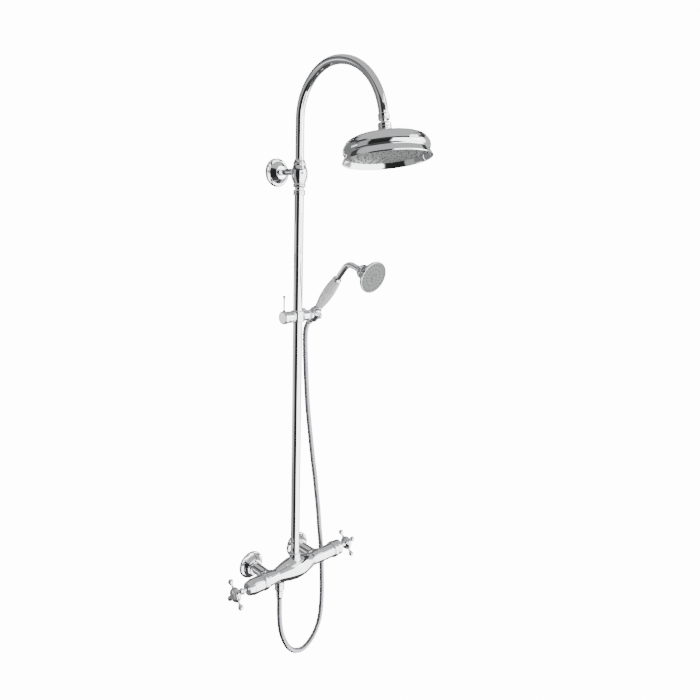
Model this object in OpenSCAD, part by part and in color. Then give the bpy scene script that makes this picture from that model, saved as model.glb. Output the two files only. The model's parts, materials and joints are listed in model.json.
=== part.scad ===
// Rainfall shower column: a bar mixer on two wall inlets, a riser with a wall
// bracket, a swan-neck arm with a rain head, and a handset on a sliding cradle.
// Millimetres. The wall is the plane Y = 0 and the room is on its -Y side, Z is up,
// and the origin is midway between the two inlets.

/* [Overall] */
// Distance between the two inlet centres
inlet_spacing = 150; // [120:1:180]
// Distance from the wall to the axes of the bar and the riser
wall_offset = 85; // [75:1:105]
// Height of the wall bracket above the inlets
bracket_height = 975; // [800:5:1200]
// Height of the slider above the inlets
slider_height = 642; // [450:1:720]

/* [Mixer body] */
// Length of the bar beyond the left inlet's axis
left_overhang = 14; // [14:1:24]
// Length of the bar beyond the right inlet's axis
right_overhang = 49; // [35:1:60]
// Diameter of the bar at its two ends
bar_d = 36; // [36:1:44]
// Diameter of the bar where it is thinnest
waist_d = 33; // [31:1:36]
// Diameter of the swollen middle
belly_d = 56; // [46:1:64]
// Half the length of the swollen middle
belly_l = 58; // [45:1:60]
// Diameter of the two cartridge chambers
chamber_d = 24; // [20:0.5:25]
// Diameter of the necks that lead back to the wall
neck_d = 27; // [22:0.5:33]
// Diameter of the water way inside each neck
neck_bore_d = 16; // [12:0.5:18]
// Diameter of the collars at the bar's ends
collar_d = 42; // [41:0.5:48]
// Width of the collars
collar_w = 14; // [10:1:18]
// Diameter of the bonnets
bonnet_d = 39; // [36:0.5:42]
// Length of the left bonnet, which covers the diverter cartridge
left_bonnet_l = 42; // [36:1:52]
// Length of the right bonnet, which covers the thermostatic cartridge
right_bonnet_l = 18; // [16:1:24]

/* [Inlets] */
// Outside diameter of the inlet thread
inlet_thread_d = 20.95; // [20.9:0.05:26.4]
// Length of the inlet thread that goes into the wall
inlet_thread_l = 15; // [10:1:20]
// Wall of the union nuts, at their flats
union_nut_wall = 2.5; // [2:0.1:4]
// Diameter of the two inlet rosettes
rosette_d = 68; // [60:1:80]
// Depth of the two inlet rosettes
rosette_l = 20; // [18:1:24]

/* [Cross handles] */
// Diameter of a handle's hub
hub_d = 34; // [30:1:40]
// Length of a hub's bell
bell_l = 22; // [18:1:26]
// Distance from the handle's axis to the middle of a finial
spoke_l = 31; // [29:0.5:37]
// Diameter of a finial
finial_d = 13; // [10:0.5:14]
// Diameter of a spoke
spoke_d = 5.4; // [4:0.2:6]
// Gap between the left bonnet and its handle
left_handle_gap = 10; // [4:0.5:14]
// Gap between the right bonnet and its handle
right_handle_gap = 2; // [1:0.5:6]
// Diameter of the two spindles
spindle_d = 8; // [6:0.5:9]
// Angle of the first spoke from upright
handle_angle = 42; // [0:1:90]

/* [Riser] */
// Outside diameter of the riser tube
riser_d = 22; // [18:0.5:26.5]
// Wall of the riser and arm tubes
tube_wall = 1.2; // [1:0.1:1.5]
// Wall of the nut at the riser's foot
foot_nut_wall = 1.7; // [1.4:0.1:4]
// Height of the nut at the riser's foot
foot_nut_h = 15; // [13:0.5:20]
// Length of the upper riser tube
upper_riser_l = 139; // [120:1:200]

/* [Wall bracket] */
// Diameter of the vase-shaped bracket body
vase_d = 38; // [34:1:46]
// Diameter of the bracket's stem
stem_d = 15; // [12:0.5:18]
// Diameter of the bracket's rosette
bracket_rosette_d = 66; // [56:1:80]
// Depth of the bracket's rosette
bracket_rosette_l = 20; // [16:1:24]
// Diameter of the threaded hole for the wall bolt
wall_bolt_d = 8; // [6:1:8]
// Depth of the threaded hole for the wall bolt
wall_bolt_l = 16; // [12:1:20]

/* [Arm] */
// Outside diameter of the arm tube
arm_d = 20; // [16:0.5:21]
// Height from the bracket to where the arm begins to bend
arm_rise = 113; // [60:1:160]
// Bend radius on the wall side
back_bend_r = 111; // [90:1:135]
// Bend radius on the room side
front_bend_r = 146; // [120:1:175]
// Tilt of the arm's end and of the head, outwards from straight down
arm_tilt = 9.5; // [0:0.5:20]

/* [Rain head] */
// Diameter of the rain head
head_d = 180; // [150:1:225]
// Height of the rain head
head_h = 52; // [46:1:64]
// Depth from the rim to the spray face
face_recess = 11; // [8:0.5:13]
// Sheet thickness of the rain head
head_wall = 1.6; // [1.2:0.1:2.4]
// Diameter of the swivel ball
ball_d = 20; // [16:0.5:24]
// Wall of the swivel nut, outside its thread
swivel_nut_wall = 1.15; // [1:0.05:3]
// Number of rings of spray nozzles
nozzle_rings = 5; // [2:1:6]

/* [Slider] */
// Diameter of the slider's horizontal body
slider_d = 25; // [22:0.5:28]
// Diameter of the collar round the riser
slider_collar_d = 32; // [30:0.5:38]
// Diameter of the clamping knob's end
knob_d = 31; // [29:0.5:36]
// Height of the clamping lever above the knob's axis
lever_l = 51; // [40:1:60]
// Distance from the riser's axis to the handset's axis
cradle_offset = 50; // [46:1:60]
// Tilt of the handset, forwards from upright
handset_tilt = 41; // [20:1:50]

/* [Handset] */
// Diameter of the porcelain handle at its widest
handle_d = 28; // [24:0.5:34]
// Length of the porcelain handle
handle_l = 87; // [75:1:105]
// Diameter of the handset's neck
handset_neck_d = 14; // [12:0.5:15]
// Straight length of the neck before its bend
neck_rise = 34; // [24:1:44]
// Bend radius of the neck
neck_bend_r = 25; // [20:1:32]
// Angle of the neck's bend
neck_bend = 67; // [40:1:90]
// Diameter of the handset's rose
rose_d = 73; // [60:1:88]
// Length of the handset's rose
rose_l = 49; // [40:1:58]

/* [Hose] */
// Diameter of the hose
hose_d = 13; // [12:0.5:13.5]
// Distance of the hose outlet from the bar's middle
outlet_x = 48; // [46:1:50]

/* [Clearances] */
// Radial clearance of a part that turns or slides in another
running = 0.06; // [0.03:0.01:0.09]
// Gap between parts that pass each other
loose = 0.4; // [0.3:0.05:0.6]
// Radial clearance of a part that is screwed or glued in place
seated = 0.02; // [0.01:0.01:0.05]

/* [Hidden] */
$fn = 64;

bar_y = -wall_offset;
left_end = inlet_spacing / 2 + left_overhang;
right_end = inlet_spacing / 2 + right_overhang;
// The bar's ends: a threaded spigot carries the collar and the bonnet.
spigot_d = chamber_d + 6;
spigot_thread_l = min(10, right_bonnet_l - 8);
left_seat = left_end + collar_w + spigot_thread_l;
right_seat = right_end + collar_w + spigot_thread_l;
cartridge_d = chamber_d - 2 * loose;
cartridge_flange_l = 4;
chamber_start = 26;
spindle_depth = 13;
left_hub_x = left_end + collar_w + left_bonnet_l + left_handle_gap + bell_l;
right_hub_x = right_end + collar_w + right_bonnet_l + right_handle_gap + bell_l;
hub_front = 4.5;
screw_d = 4;
// Stations of an inlet, measured out from the wall.
union_nut_af = neck_d + 2 * union_nut_wall;
union_flange_z = 6;
filter_z = 8;
neck_z = 9.5;
// The riser's foot.
foot_seat_z = belly_d / 2;
foot_spigot_z = foot_seat_z + 5;
foot_spigot_r = riser_d / 2 + 1.8;
foot_nut_r = foot_spigot_r + foot_nut_wall;
foot_bore_r = riser_d / 2 - tube_wall - 2.3;
washer_l = 1.5;
foot_flange_l = 1.5;
riser_r = riser_d / 2;
riser_bore_r = riser_r - tube_wall;
riser_z0 = foot_spigot_z + washer_l;
riser_z1 = bracket_height - 46;
riser_joint_z = riser_z1 - upper_riser_l;
sleeve_l = 40;
// The hose outlet under the bar.
outlet_seat_z = -20;
port_d = 24;
port_bore_d = 16;
nipple_l = 10;
outlet_thread_d = 20.8;
ferrule_end_z = -64;
hose_start_z = -52;
// The bracket's stations, measured from its stem's axis.
nut_z0 = -53;
vase_z0 = -46;
bracket_spigot_r = riser_r - 1;
stem_end = wall_offset - 13;
set_screw_d = 4.8;
arm_r = arm_d / 2;
arm_foot_z = 1;
arm_seal_r = arm_r + 2;
arm_seal_l = 2.4;
arm_seal_zs = [9, 20];
clip_z = 14.5;
clip_l = 1.6;
clip_depth = 0.7;
// The arm and the head hang on one axis, measured from the end of the arm's bend.
arm_top_z = bracket_height + arm_rise + back_bend_r;
arm_top_y = bar_y - back_bend_r;
arm_end_y = arm_top_y - front_bend_r * cos(arm_tilt);
arm_end_z = arm_top_z - front_bend_r * (1 - sin(arm_tilt));
arm_end_l = 11;
ball_r = ball_d / 2;
ball_z = -arm_end_l - 5 - ball_r;
ball_neck_r = 5.5;
collar_thread_r = ball_r + 2.6;
nut_top_z = ball_z + ball_r - 1;
nut_lip_l = 2;
nut_end_z = ball_z - ball_r / 2;
head_collar_l = 8;
head_r = head_d / 2;
rim_z = nut_end_z - head_collar_l - head_h;
face_r = head_r - 9;
nozzle_d = 3.2;
// The slider's stations along the X axis, measured from the riser's axis.
slider_collar_r = slider_collar_d / 2;
slider_collar_h = slider_d + 1.2;
bush_r = riser_d / 2 + 1.2;
clamp_screw_r = 3;
knob_x0 = 46;
knob_flange_l = 10;
knob_boss_x = 30;
lever_x = -41;
lever_r = 1.8;
slider_end_x = 29;
tilt_ring_l = 5;
tilt_screw_x = 22;
tilt_cap_d = 13;
tilt_seat = 10;
journal_x = 18;
journal_r = 6;
cradle_r = 12.7;
cradle_end_x = 68;
cradle_socket_r = 14.5;
cradle_socket_l = 24;
cradle_slot = 15;
// The handset's stations, measured along its axis from the cradle's centre.
cone_z0 = -14;
cone_z1 = 14;
cone_r0 = 8.9;
cone_r1 = 11.4;
cone_top = 17;
tail_z = -26;
handle_z = 31;
handle_top = handle_z + handle_l;
handset_bore_r = 5.5;
spigot_r = 8;
spigot_l = 10;
handset_collar_l = 6;
rose_neck_l = 20;

// Radius of the bar at a distance x from its middle: a belly between two waists.
function bar_r(x) =
    abs(x) < belly_l
    ? waist_d / 2 + (belly_d - waist_d) / 2 * pow(1 - x * x / belly_l / belly_l, 1.3)
    : waist_d / 2 + (bar_d - waist_d) / 2 * min(1, (abs(x) - belly_l) / 25);

// Radius of the hose's cone at a station along the handset.
function cone_r(s) = cone_r0 + (cone_r1 - cone_r0) * (s - cone_z0) / (cone_z1 - cone_z0);

// Points of an arc in the plane, from angle a0 to a1.
function arc(cx, cy, r, a0, a1, n = 6) =
    [for (i = [0 : n]) let (a = a0 + (a1 - a0) * i / n) [cx + r * cos(a), cy + r * sin(a)]];

module lathe(points) rotate_extrude($fn = 96) polygon(points);

// A tube or a washer standing on the plane.
module ring(r_out, r_in, h) {
    difference() {
        cylinder(r = r_out, h = h);
        translate([0, 0, -1]) cylinder(r = r_in, h = h + 2);
    }
}

// A cylinder whose two ends have a small chamfer.
module rounded_ring(r_out, r_in, h, edge = 0.8) {
    lathe([[r_in, 0], [r_out - edge, 0], [r_out, edge], [r_out, h - edge],
           [r_out - edge, h], [r_in, h]]);
}

// Frames: each turns +Z of its children to the direction that its name says.
module on_bar(x) translate([x, bar_y, 0]) rotate([0, 90, 0]) children();
module on_bar_left(x) translate([-x, bar_y, 0]) rotate([0, -90, 0]) children();
module out_of_wall(x, z) translate([x, 0, z]) rotate([90, 0, 0]) children();
module on_riser(z) translate([0, bar_y, z]) children();
module both_inlets() for (side = [-1, 1]) out_of_wall(side * inlet_spacing / 2, 0) children();
module on_arm_end(z = 0) translate([0, arm_end_y, arm_end_z]) rotate([-arm_tilt, 0, 0])
    translate([0, 0, z]) children();
module on_rim(h) on_arm_end(rim_z + h) children();
module on_slider() translate([0, bar_y, slider_height]) children();
module on_handset(z) translate([cradle_offset, bar_y, slider_height])
    rotate([handset_tilt, 0, 0]) translate([0, 0, z]) children();
module on_rose(s) on_handset(handle_top + neck_rise + handset_collar_l)
    translate([0, -neck_bend_r, 0]) rotate([neck_bend, 0, 0])
    translate([0, neck_bend_r, rose_neck_l + s]) children();

// ---- Mixer ----

module bar_solid() {
    steps = 40;
    left = left_seat;
    right = right_seat;
    on_bar(0) lathe(concat(
        [[0, -left], [spigot_d / 2, -left], [spigot_d / 2, -left_end]],
        [for (i = [0 : steps])
            let (x = -left_end + (left_end + right_end) * i / steps) [bar_r(x), x]],
        [[spigot_d / 2, right_end], [spigot_d / 2, right], [0, right]]));
}

module mixer_body() {
    color("gainsboro") difference() {
        union() {
            bar_solid();
            both_inlets() translate([0, 0, neck_z]) cylinder(d = neck_d, h = wall_offset - neck_z);
            on_riser(0) cylinder(r = foot_nut_r - 0.5, h = foot_seat_z);
            on_riser(0) cylinder(r = foot_spigot_r, h = foot_spigot_z);
            at_outlet(outlet_seat_z) cylinder(d = port_d, h = -outlet_seat_z);
        }
        on_bar(chamber_start) cylinder(d = chamber_d, h = right_seat);
        on_bar_left(chamber_start) cylinder(d = chamber_d, h = left_seat);
        both_inlets() translate([0, 0, neck_z - 1])
            cylinder(d = neck_bore_d, h = wall_offset - neck_z);
        on_bar(-chamber_start - 1) cylinder(d = 10, h = 2 * chamber_start + 2);
        on_riser(0) cylinder(r = foot_bore_r, h = foot_spigot_z + 1);
        at_outlet(outlet_seat_z - 1) cylinder(d = port_bore_d, h = -outlet_seat_z);
        at_outlet(2 * outlet_seat_z) cylinder(d = port_d + 1, h = -outlet_seat_z);
    }
}

module inlet_unions() {
    thread_r = inlet_thread_d / 2;
    color("silver") both_inlets() lathe([
        [7, -inlet_thread_l], [thread_r - 1, -inlet_thread_l], [thread_r, 1 - inlet_thread_l],
        [thread_r, 0], [neck_d / 2, 0], [neck_d / 2, 2], [neck_d / 2 - 2.5, 2],
        [neck_d / 2 - 2.5, union_flange_z], [neck_d / 2 - 1, union_flange_z],
        [neck_d / 2 - 1, filter_z], [7, filter_z]]);
}

module union_nuts() {
    lip_z = union_flange_z - 2;
    nut_end = neck_z + 6.5;
    color("silver") both_inlets() difference() {
        translate([0, 0, lip_z]) cylinder(r = union_nut_af / 2 / cos(30), h = nut_end - lip_z, $fn = 6);
        translate([0, 0, lip_z - 1]) cylinder(r = neck_d / 2 - 2.5 + seated, h = 4);
        translate([0, 0, union_flange_z]) cylinder(r = neck_d / 2 + seated, h = nut_end);
    }
}

module inlet_filters() {
    color("dimgray") both_inlets() translate([0, 0, filter_z])
        ring(neck_d / 2 - 1, neck_bore_d / 2, neck_z - filter_z);
}

module check_valves() {
    color("whitesmoke") both_inlets() translate([0, 0, neck_z + 12]) lathe([
        [3.5, 0], [neck_bore_d / 2 - seated, 0], [neck_bore_d / 2 - seated, 14],
        [5, 16], [3.5, 16]]);
}

// A stepped rosette with a shell's thickness, standing on the wall.
module rosette(r, l, hole_r, nose_r) {
    lathe(concat(
        [[r - 1.6, 0], [r, 0], [r, 3]], arc(r - 3.5, 3.5, 3.5, 0, 75, 4),
        [[r - 6, 8], [r - 7.5, 8.2], [r - 8.2, 9.4], [(r - 9 + nose_r) / 2 + 1, l - 6]],
        arc(nose_r - 2, l - 3, 3, 30, 90, 4),
        [[hole_r, l], [hole_r, l - 1.6], [nose_r - 2, l - 1.6], [nose_r - 0.4, l - 3],
         [(r - 9 + nose_r) / 2 - 0.8, l - 6.5], [r - 9.8, 8.6], [r - 8.4, 6.6],
         [r - 5, 6.2], [r - 1.6, 3]]));
}

module inlet_rosettes() {
    color("gainsboro") both_inlets()
        rosette(rosette_d / 2, rosette_l, neck_d / 2 + loose, union_nut_af / 2 + 5);
}

// A cartridge, its axis along +Z and its flange on the bar's seat.
module cartridge(seat) {
    body_l = seat - chamber_start - 4;
    difference() {
        translate([0, 0, seat - body_l]) union() {
            cylinder(d = cartridge_d, h = body_l);
            translate([0, 0, body_l]) cylinder(d = spigot_d - 1, h = cartridge_flange_l);
        }
        translate([0, 0, seat - spindle_depth - 1])
            cylinder(r = spindle_d / 2 + running, h = spindle_depth + cartridge_flange_l + 2);
        for (z = [seat - body_l + 8 : 14 : seat - spindle_depth - 12])
            translate([0, 0, z]) ring(cartridge_d, cartridge_d / 2 - 1.5, 3);
    }
}

module diverter_cartridge() color("peru") on_bar_left(0) cartridge(left_seat);
module thermostat_cartridge() color("peru") on_bar(0) cartridge(right_seat);

module collars() {
    color("gainsboro") {
        on_bar_left(left_end) rounded_ring(collar_d / 2, spigot_d / 2 + seated, collar_w, 1.2);
        on_bar(right_end) rounded_ring(collar_d / 2, spigot_d / 2 + seated, collar_w, 1.2);
    }
}

// A bonnet of length l: a groove at its foot, and a nose that closes round the spindle.
module bonnet(l, nose_l) {
    r = bonnet_d / 2;
    seat = spigot_thread_l + cartridge_flange_l;
    lathe([[spigot_d / 2 + seated, 0], [r - 1.5, 0], [r - 1.5, 1.2], [r, 1.8],
           [r, l - nose_l], [r - 0.8, l - nose_l + 0.6], [r - 0.8, l - nose_l + 1.2],
           [r - 4, l - 0.8], [r - 5, l], [spindle_d / 2 + 1.2, l], [spindle_d / 2 + 1.2, l - 3],
           [chamber_d / 2 - 1, l - 3], [chamber_d / 2 - 1, seat], [spigot_d / 2 + seated, seat]]);
}

module bonnets() {
    color("gainsboro") {
        on_bar_left(left_end + collar_w) bonnet(left_bonnet_l, 14);
        on_bar(right_end + collar_w) bonnet(right_bonnet_l, 5);
    }
}

// ---- Cross handles: +Z points outwards, and the spokes lie in the plane Z = 0 ----

module spindle(reach) {
    difference() {
        translate([0, 0, -reach]) cylinder(d = spindle_d, h = reach);
        translate([0, 0, -10]) cylinder(d = screw_d, h = 11);
    }
}

module spoke_places() for (i = [0 : 3]) rotate([0, 0, 90 * i]) rotate([0, 90, 0]) children();

module hub() {
    r = hub_d / 2;
    bore_r = spindle_d / 2 + seated;
    difference() {
        lathe(concat(
            [[bore_r, -bell_l], [6.5, -bell_l], [7.6, 1.6 - bell_l], [7.6, 3.4 - bell_l],
             [6.2, 5 - bell_l], [6.4, 8 - bell_l], [8.4, -9], [12, -5.6], [r - 1, -4], [r, -3],
             [r, 3], [r - 1.2, hub_front], [5.2, hub_front], [5.2, 1.5], [screw_d / 2 + 0.2, 1.5],
             [screw_d / 2 + 0.2, 0], [bore_r, 0]]));
        spoke_places() translate([0, 0, r - 7]) cylinder(d = spoke_d + 2 * seated, h = 8);
    }
}

module spokes() {
    f = finial_d / 2;
    s = spoke_d / 2;
    root = hub_d / 2 - 7;
    spoke_places() lathe(concat(
        [[0, root], [s, root], [s, hub_d / 2 + 1], [s * 0.8, spoke_l - f - 4]],
        arc(0, spoke_l, f, -35, 90, 10)));
}

module cap() {
    r = hub_d / 2 - 1.4;
    translate([0, 0, hub_front]) lathe([
        [0, 0], [r, 0], [r + 0.4, 0.8], [r - 0.3, 2], [r - 1.6, 2.6], [r - 2.4, 2.6],
        [r - 4, 3.6], [r - 8, 4.6], [0, 5]]);
}

module handle_screw() {
    translate([0, 0, -9]) cylinder(d = screw_d - 2 * seated, h = 10.5);
    translate([0, 0, 1.5]) difference() {
        cylinder(d = 8, h = 2.8);
        translate([0, 0, 1]) cylinder(r = 2.3, h = 3, $fn = 6);
    }
}

module on_left_handle() on_bar_left(left_hub_x) rotate([0, 0, handle_angle]) children();
module on_right_handle() on_bar(right_hub_x) rotate([0, 0, -handle_angle]) children();

module left_spindle() color("khaki") on_left_handle() spindle(left_hub_x - left_seat + spindle_depth);
module left_hub() color("gainsboro") on_left_handle() hub();
module left_spokes() color("gainsboro") on_left_handle() spokes();
module left_cap() color("gainsboro") on_left_handle() cap();
module left_handle_screw() color("silver") on_left_handle() handle_screw();
module right_spindle() color("khaki") on_right_handle() spindle(right_hub_x - right_seat + spindle_depth);
module right_hub() color("gainsboro") on_right_handle() hub();
module right_spokes() color("gainsboro") on_right_handle() spokes();
module right_cap() color("gainsboro") on_right_handle() cap();
module right_handle_screw() color("silver") on_right_handle() handle_screw();

// ---- Hose and its outlet ----

module at_outlet(z) translate([-outlet_x, bar_y, z]) children();

module outlet_nipple() {
    color("silver") at_outlet(outlet_seat_z) difference() {
        union() {
            translate([0, 0, -3]) cylinder(d = 22.5, h = 3);
            translate([0, 0, -3 - nipple_l]) cylinder(d = outlet_thread_d, h = nipple_l);
            cylinder(d = port_bore_d - 2 * seated, h = 7);
        }
        translate([0, 0, -4 - nipple_l]) cylinder(d = 11, h = nipple_l + 12);
    }
}

hose_nut_z = outlet_seat_z - 3.4;
nipple_end_z = outlet_seat_z - 3 - nipple_l;
hose_flange_z = nipple_end_z - washer_l;

module hose_nut() {
    bottom = hose_flange_z - 8;
    color("gainsboro") at_outlet(0) lathe([
        [outlet_thread_d / 2 + seated, hose_nut_z], [11.6, hose_nut_z], [12.2, hose_nut_z - 0.8],
        [12.2, bottom + 3], [10.6, bottom], [hose_d / 2 + 2.2, bottom],
        [hose_d / 2 + 2.2, hose_flange_z - 2], [outlet_thread_d / 2 + seated, hose_flange_z - 2]]);
}

module hose_ferrule() {
    r = hose_d / 2;
    color("gainsboro") at_outlet(0) lathe([
        [r - 1.5, hose_flange_z], [outlet_thread_d / 2 - 0.2, hose_flange_z],
        [outlet_thread_d / 2 - 0.2, hose_flange_z - 2], [r + 2, hose_flange_z - 2],
        [r + 2, ferrule_end_z + 8], [r + 1.2, ferrule_end_z], [r + 0.1, ferrule_end_z],
        [r + 0.1, hose_start_z], [r - 1.5, hose_start_z]]);
}

// The hose hangs from the outlet in one long loop, passes behind the bar's right end
// and rises to the handset's cone.
HOSE_ROUTE = [
    [-48, -85, -52], [-48, -85, -80], [-47, -84, -110], [-44, -83, -140], [-37, -81, -170],
    [-25, -79, -200], [-8, -76, -228], [16, -72, -250], [46, -68, -261], [76, -63, -254],
    [100, -59, -234], [116, -55, -206], [123, -52, -172], [126, -50, -135], [126, -49, -95],
    [125, -48, -55], [122, -48, -15], [119, -48, 20], [114, -48, 60], [108, -49, 110],
    [101, -49, 160], [93, -50, 210], [84, -51, 260], [76, -52, 310], [68, -53, 360],
    [61, -54, 410], [56, -55, 460], [52, -56, 505], [50, -55.5, 545], [50, -54.5, 586],
    [50, -56, 599.5], [50, -60.5, 612], [50, -67.7, 622.2]];

function unit(v) = v / norm(v);
function spline(p0, p1, p2, p3, t) =
    0.5 * (2 * p1 + (p2 - p0) * t + (2 * p0 - 5 * p1 + 4 * p2 - p3) * t * t
        + (3 * p1 - p0 - 3 * p2 + p3) * t * t * t);
function smooth_route(p, n) = let (last = len(p) - 1) concat(
    [for (i = [0 : last - 1], j = [0 : n - 1])
        spline(p[max(0, i - 1)], p[i], p[i + 1], p[min(last, i + 2)], j / n)], [p[last]]);

module hose() {
    sides = 10;
    path = smooth_route(HOSE_ROUTE, 2);
    last = len(path) - 1;
    points = [for (i = [0 : last])
        let (t = unit(path[min(last, i + 1)] - path[max(0, i - 1)]),
             a = unit(cross(t, [0, 1, 0])), b = cross(t, a))
        for (k = [0 : sides - 1])
            path[i] + hose_d / 2 * (cos(360 * k / sides) * a + sin(360 * k / sides) * b)];
    faces = concat(
        [[for (k = [0 : sides - 1]) k]],
        [for (i = [0 : last - 1], k = [0 : sides - 1])
            let (a = i * sides + k, b = i * sides + (k + 1) % sides)
            [a, a + sides, b + sides, b]],
        [[for (k = [sides - 1 : -1 : 0]) last * sides + k]]);
    color("silver") polyhedron(points, faces);
}

// ---- Riser ----

module foot_nut() {
    z0 = foot_seat_z + loose;
    z1 = foot_seat_z + foot_nut_h;
    shoulder = riser_z0 + foot_flange_l;
    r = foot_nut_r;
    color("gainsboro") on_riser(0) lathe([
        [foot_spigot_r + seated, z0], [r - 1, z0], [r, z0 + 1], [r, z1 - 2.5], [r - 1.8, z1],
        [riser_r + seated, z1], [riser_r + seated, shoulder], [foot_spigot_r + seated, shoulder]]);
}

module seals() {
    color("dimgray") {
        on_riser(foot_spigot_z) ring(foot_spigot_r - 0.3, foot_bore_r, washer_l);
        at_outlet(hose_flange_z) ring(outlet_thread_d / 2 - 0.2, 5.5, washer_l);
        for (z = arm_seal_zs) on_riser(bracket_height + z)
            ring(arm_seal_r - seated, arm_r + running, arm_seal_l - 2 * seated);
    }
}

module lower_riser() {
    color("gainsboro") on_riser(0) lathe([
        [riser_bore_r, riser_z0], [foot_spigot_r - 0.2, riser_z0],
        [foot_spigot_r - 0.2, riser_z0 + foot_flange_l], [riser_r, riser_z0 + foot_flange_l],
        [riser_r, riser_joint_z], [riser_bore_r, riser_joint_z]]);
}

module upper_riser() {
    color("gainsboro") on_riser(riser_joint_z) ring(riser_r, riser_bore_r, upper_riser_l);
}

module riser_sleeve() {
    color("silver") on_riser(riser_joint_z - sleeve_l / 2)
        ring(riser_bore_r - seated, riser_bore_r - 1.6, sleeve_l);
}

// ---- Wall bracket: heights are measured from the stem's axis ----

module bracket_body() {
    r = vase_d / 2;
    socket_r = arm_r + running;
    color("gainsboro") difference() {
        on_riser(bracket_height) lathe([
            [foot_bore_r, vase_z0], [bracket_spigot_r, vase_z0], [bracket_spigot_r, -41],
            [bracket_spigot_r + 0.4, -38], [bracket_spigot_r + 0.9, -35.5], [r - 5.4, -33.6],
            [r - 4.2, -31.5], [r - 4.2, -29.5], [r - 5.9, -27.5], [r - 4.2, -23],
            [r - 1.7, -16], [r - 0.1, -10], [r, -6],
            [r - 0.1, -2], [r - 1.2, 4], [r - 4.1, 12], [r - 4.1, 15], [r - 4.7, 19],
            [arm_r + 2, 24.5], [arm_r + 1, 27], [socket_r, 27], [socket_r, arm_foot_z - loose],
            [foot_bore_r, arm_foot_z - loose]]);
        out_of_wall(0, bracket_height) cylinder(d = stem_d + 2 * seated, h = stem_end);
        for (z = arm_seal_zs) on_riser(bracket_height + z)
            ring(arm_seal_r, arm_r - 1, arm_seal_l);
        on_riser(bracket_height + clip_z) ring(arm_seal_r, arm_r - 1, clip_l);
    }
}

module bracket_nut() {
    color("gainsboro") difference() {
        on_riser(bracket_height) lathe([
            [riser_r + seated, nut_z0], [riser_r + 2.3, nut_z0], [riser_r + 2.8, nut_z0 + 1],
            [riser_r + 2.6, -43], [riser_r + 2, -41],
            [bracket_spigot_r + seated, -41], [bracket_spigot_r + seated, vase_z0],
            [riser_r + seated, vase_z0]]);
        at_set_screw() cylinder(d = set_screw_d + 2 * seated, h = 8);
    }
}

module at_set_screw() on_riser(bracket_height + nut_z0 + 3.6)
    rotate([90, 0, -45]) translate([0, 0, riser_r]) children();

module bracket_screw() {
    color("dimgray") at_set_screw() difference() {
        translate([0, 0, 0.1]) cylinder(d = set_screw_d, h = 2.4);
        translate([0, 0, 1.2]) cylinder(r = 1.2, h = 3, $fn = 6);
    }
}

module bracket_stem() {
    color("gainsboro") out_of_wall(0, bracket_height) difference() {
        cylinder(d = stem_d, h = stem_end - seated);
        translate([0, 0, -1]) cylinder(d = wall_bolt_d, h = wall_bolt_l + 1);
    }
}

module bracket_rosette() {
    color("gainsboro") out_of_wall(0, bracket_height)
        rosette(bracket_rosette_d / 2, bracket_rosette_l, stem_d / 2 + seated, stem_d / 2 + 8.5);
}

module arm_clip() {
    color("silver") on_riser(bracket_height + clip_z + seated) difference() {
        ring(arm_seal_r - seated, arm_r - clip_depth, clip_l - 2 * seated);
        translate([0, 0, -1]) translate([-2, 0, 0]) cube([4, arm_d, clip_l + 2]);
    }
}

// ---- Swan-neck arm ----

module tube_section(r) {
    difference() {
        circle(r = r);
        circle(r = r - tube_wall);
    }
}

module arm_tube() {
    foot = arm_foot_z;
    step_z = clip_z + 6;
    color("gainsboro") difference() {
        union() {
            on_riser(bracket_height) lathe([
                [foot_bore_r, foot], [arm_r, foot], [arm_r, arm_rise], [arm_r - tube_wall, arm_rise],
                [arm_r - tube_wall, step_z], [foot_bore_r, step_z]]);
            translate([0, arm_top_y, arm_top_z - back_bend_r]) rotate([90, 0, 90])
                rotate_extrude(angle = 90) translate([back_bend_r, 0]) tube_section(arm_r);
            translate([0, arm_top_y, arm_top_z - front_bend_r]) rotate([90, 0, 90])
                rotate([0, 0, 90]) rotate_extrude(angle = 90 - arm_tilt)
                translate([front_bend_r, 0]) tube_section(arm_r);
        }
        on_riser(bracket_height + clip_z - loose)
            ring(arm_d, arm_r - clip_depth - loose, clip_l + 2 * loose);
    }
}

module arm_ferrule() {
    r = arm_r + 1.7;
    color("gainsboro") on_arm_end() lathe([
        [arm_r - tube_wall, 0], [r - 0.6, 0], [r, -0.6], [r, 0.6 - arm_end_l],
        [r - 0.5, -arm_end_l], [arm_r - tube_wall, -arm_end_l]]);
}

module swivel_ball() {
    color("silver") on_arm_end() difference() {
        union() {
            translate([0, 0, -arm_end_l]) cylinder(r = arm_r - tube_wall - seated, h = 8);
            translate([0, 0, -arm_end_l - 1]) cylinder(r = arm_r + 1.2, h = 1);
            translate([0, 0, ball_z]) cylinder(r = ball_neck_r, h = -arm_end_l - ball_z - 0.5);
            translate([0, 0, ball_z]) sphere(r = ball_r);
        }
        translate([0, 0, ball_z - ball_d]) cylinder(r = 3.5, h = 2 * ball_d);
    }
}

module swivel_seat() {
    color("dimgray") on_arm_end(ball_z)
        lathe(concat(arc(0, 0, ball_r + 0.3, 34, 6, 8), arc(0, 0, ball_r + 1, 6, 34, 8)));
}

module swivel_seal() {
    color("dimgray") on_arm_end(ball_z - ball_r + 0.5) lathe([
        [ball_r - 0.8, 0], [ball_r + 1.3, 0], [ball_r + 1.3, 2.5], [ball_r - 0.5, 2.5]]);
}

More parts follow.
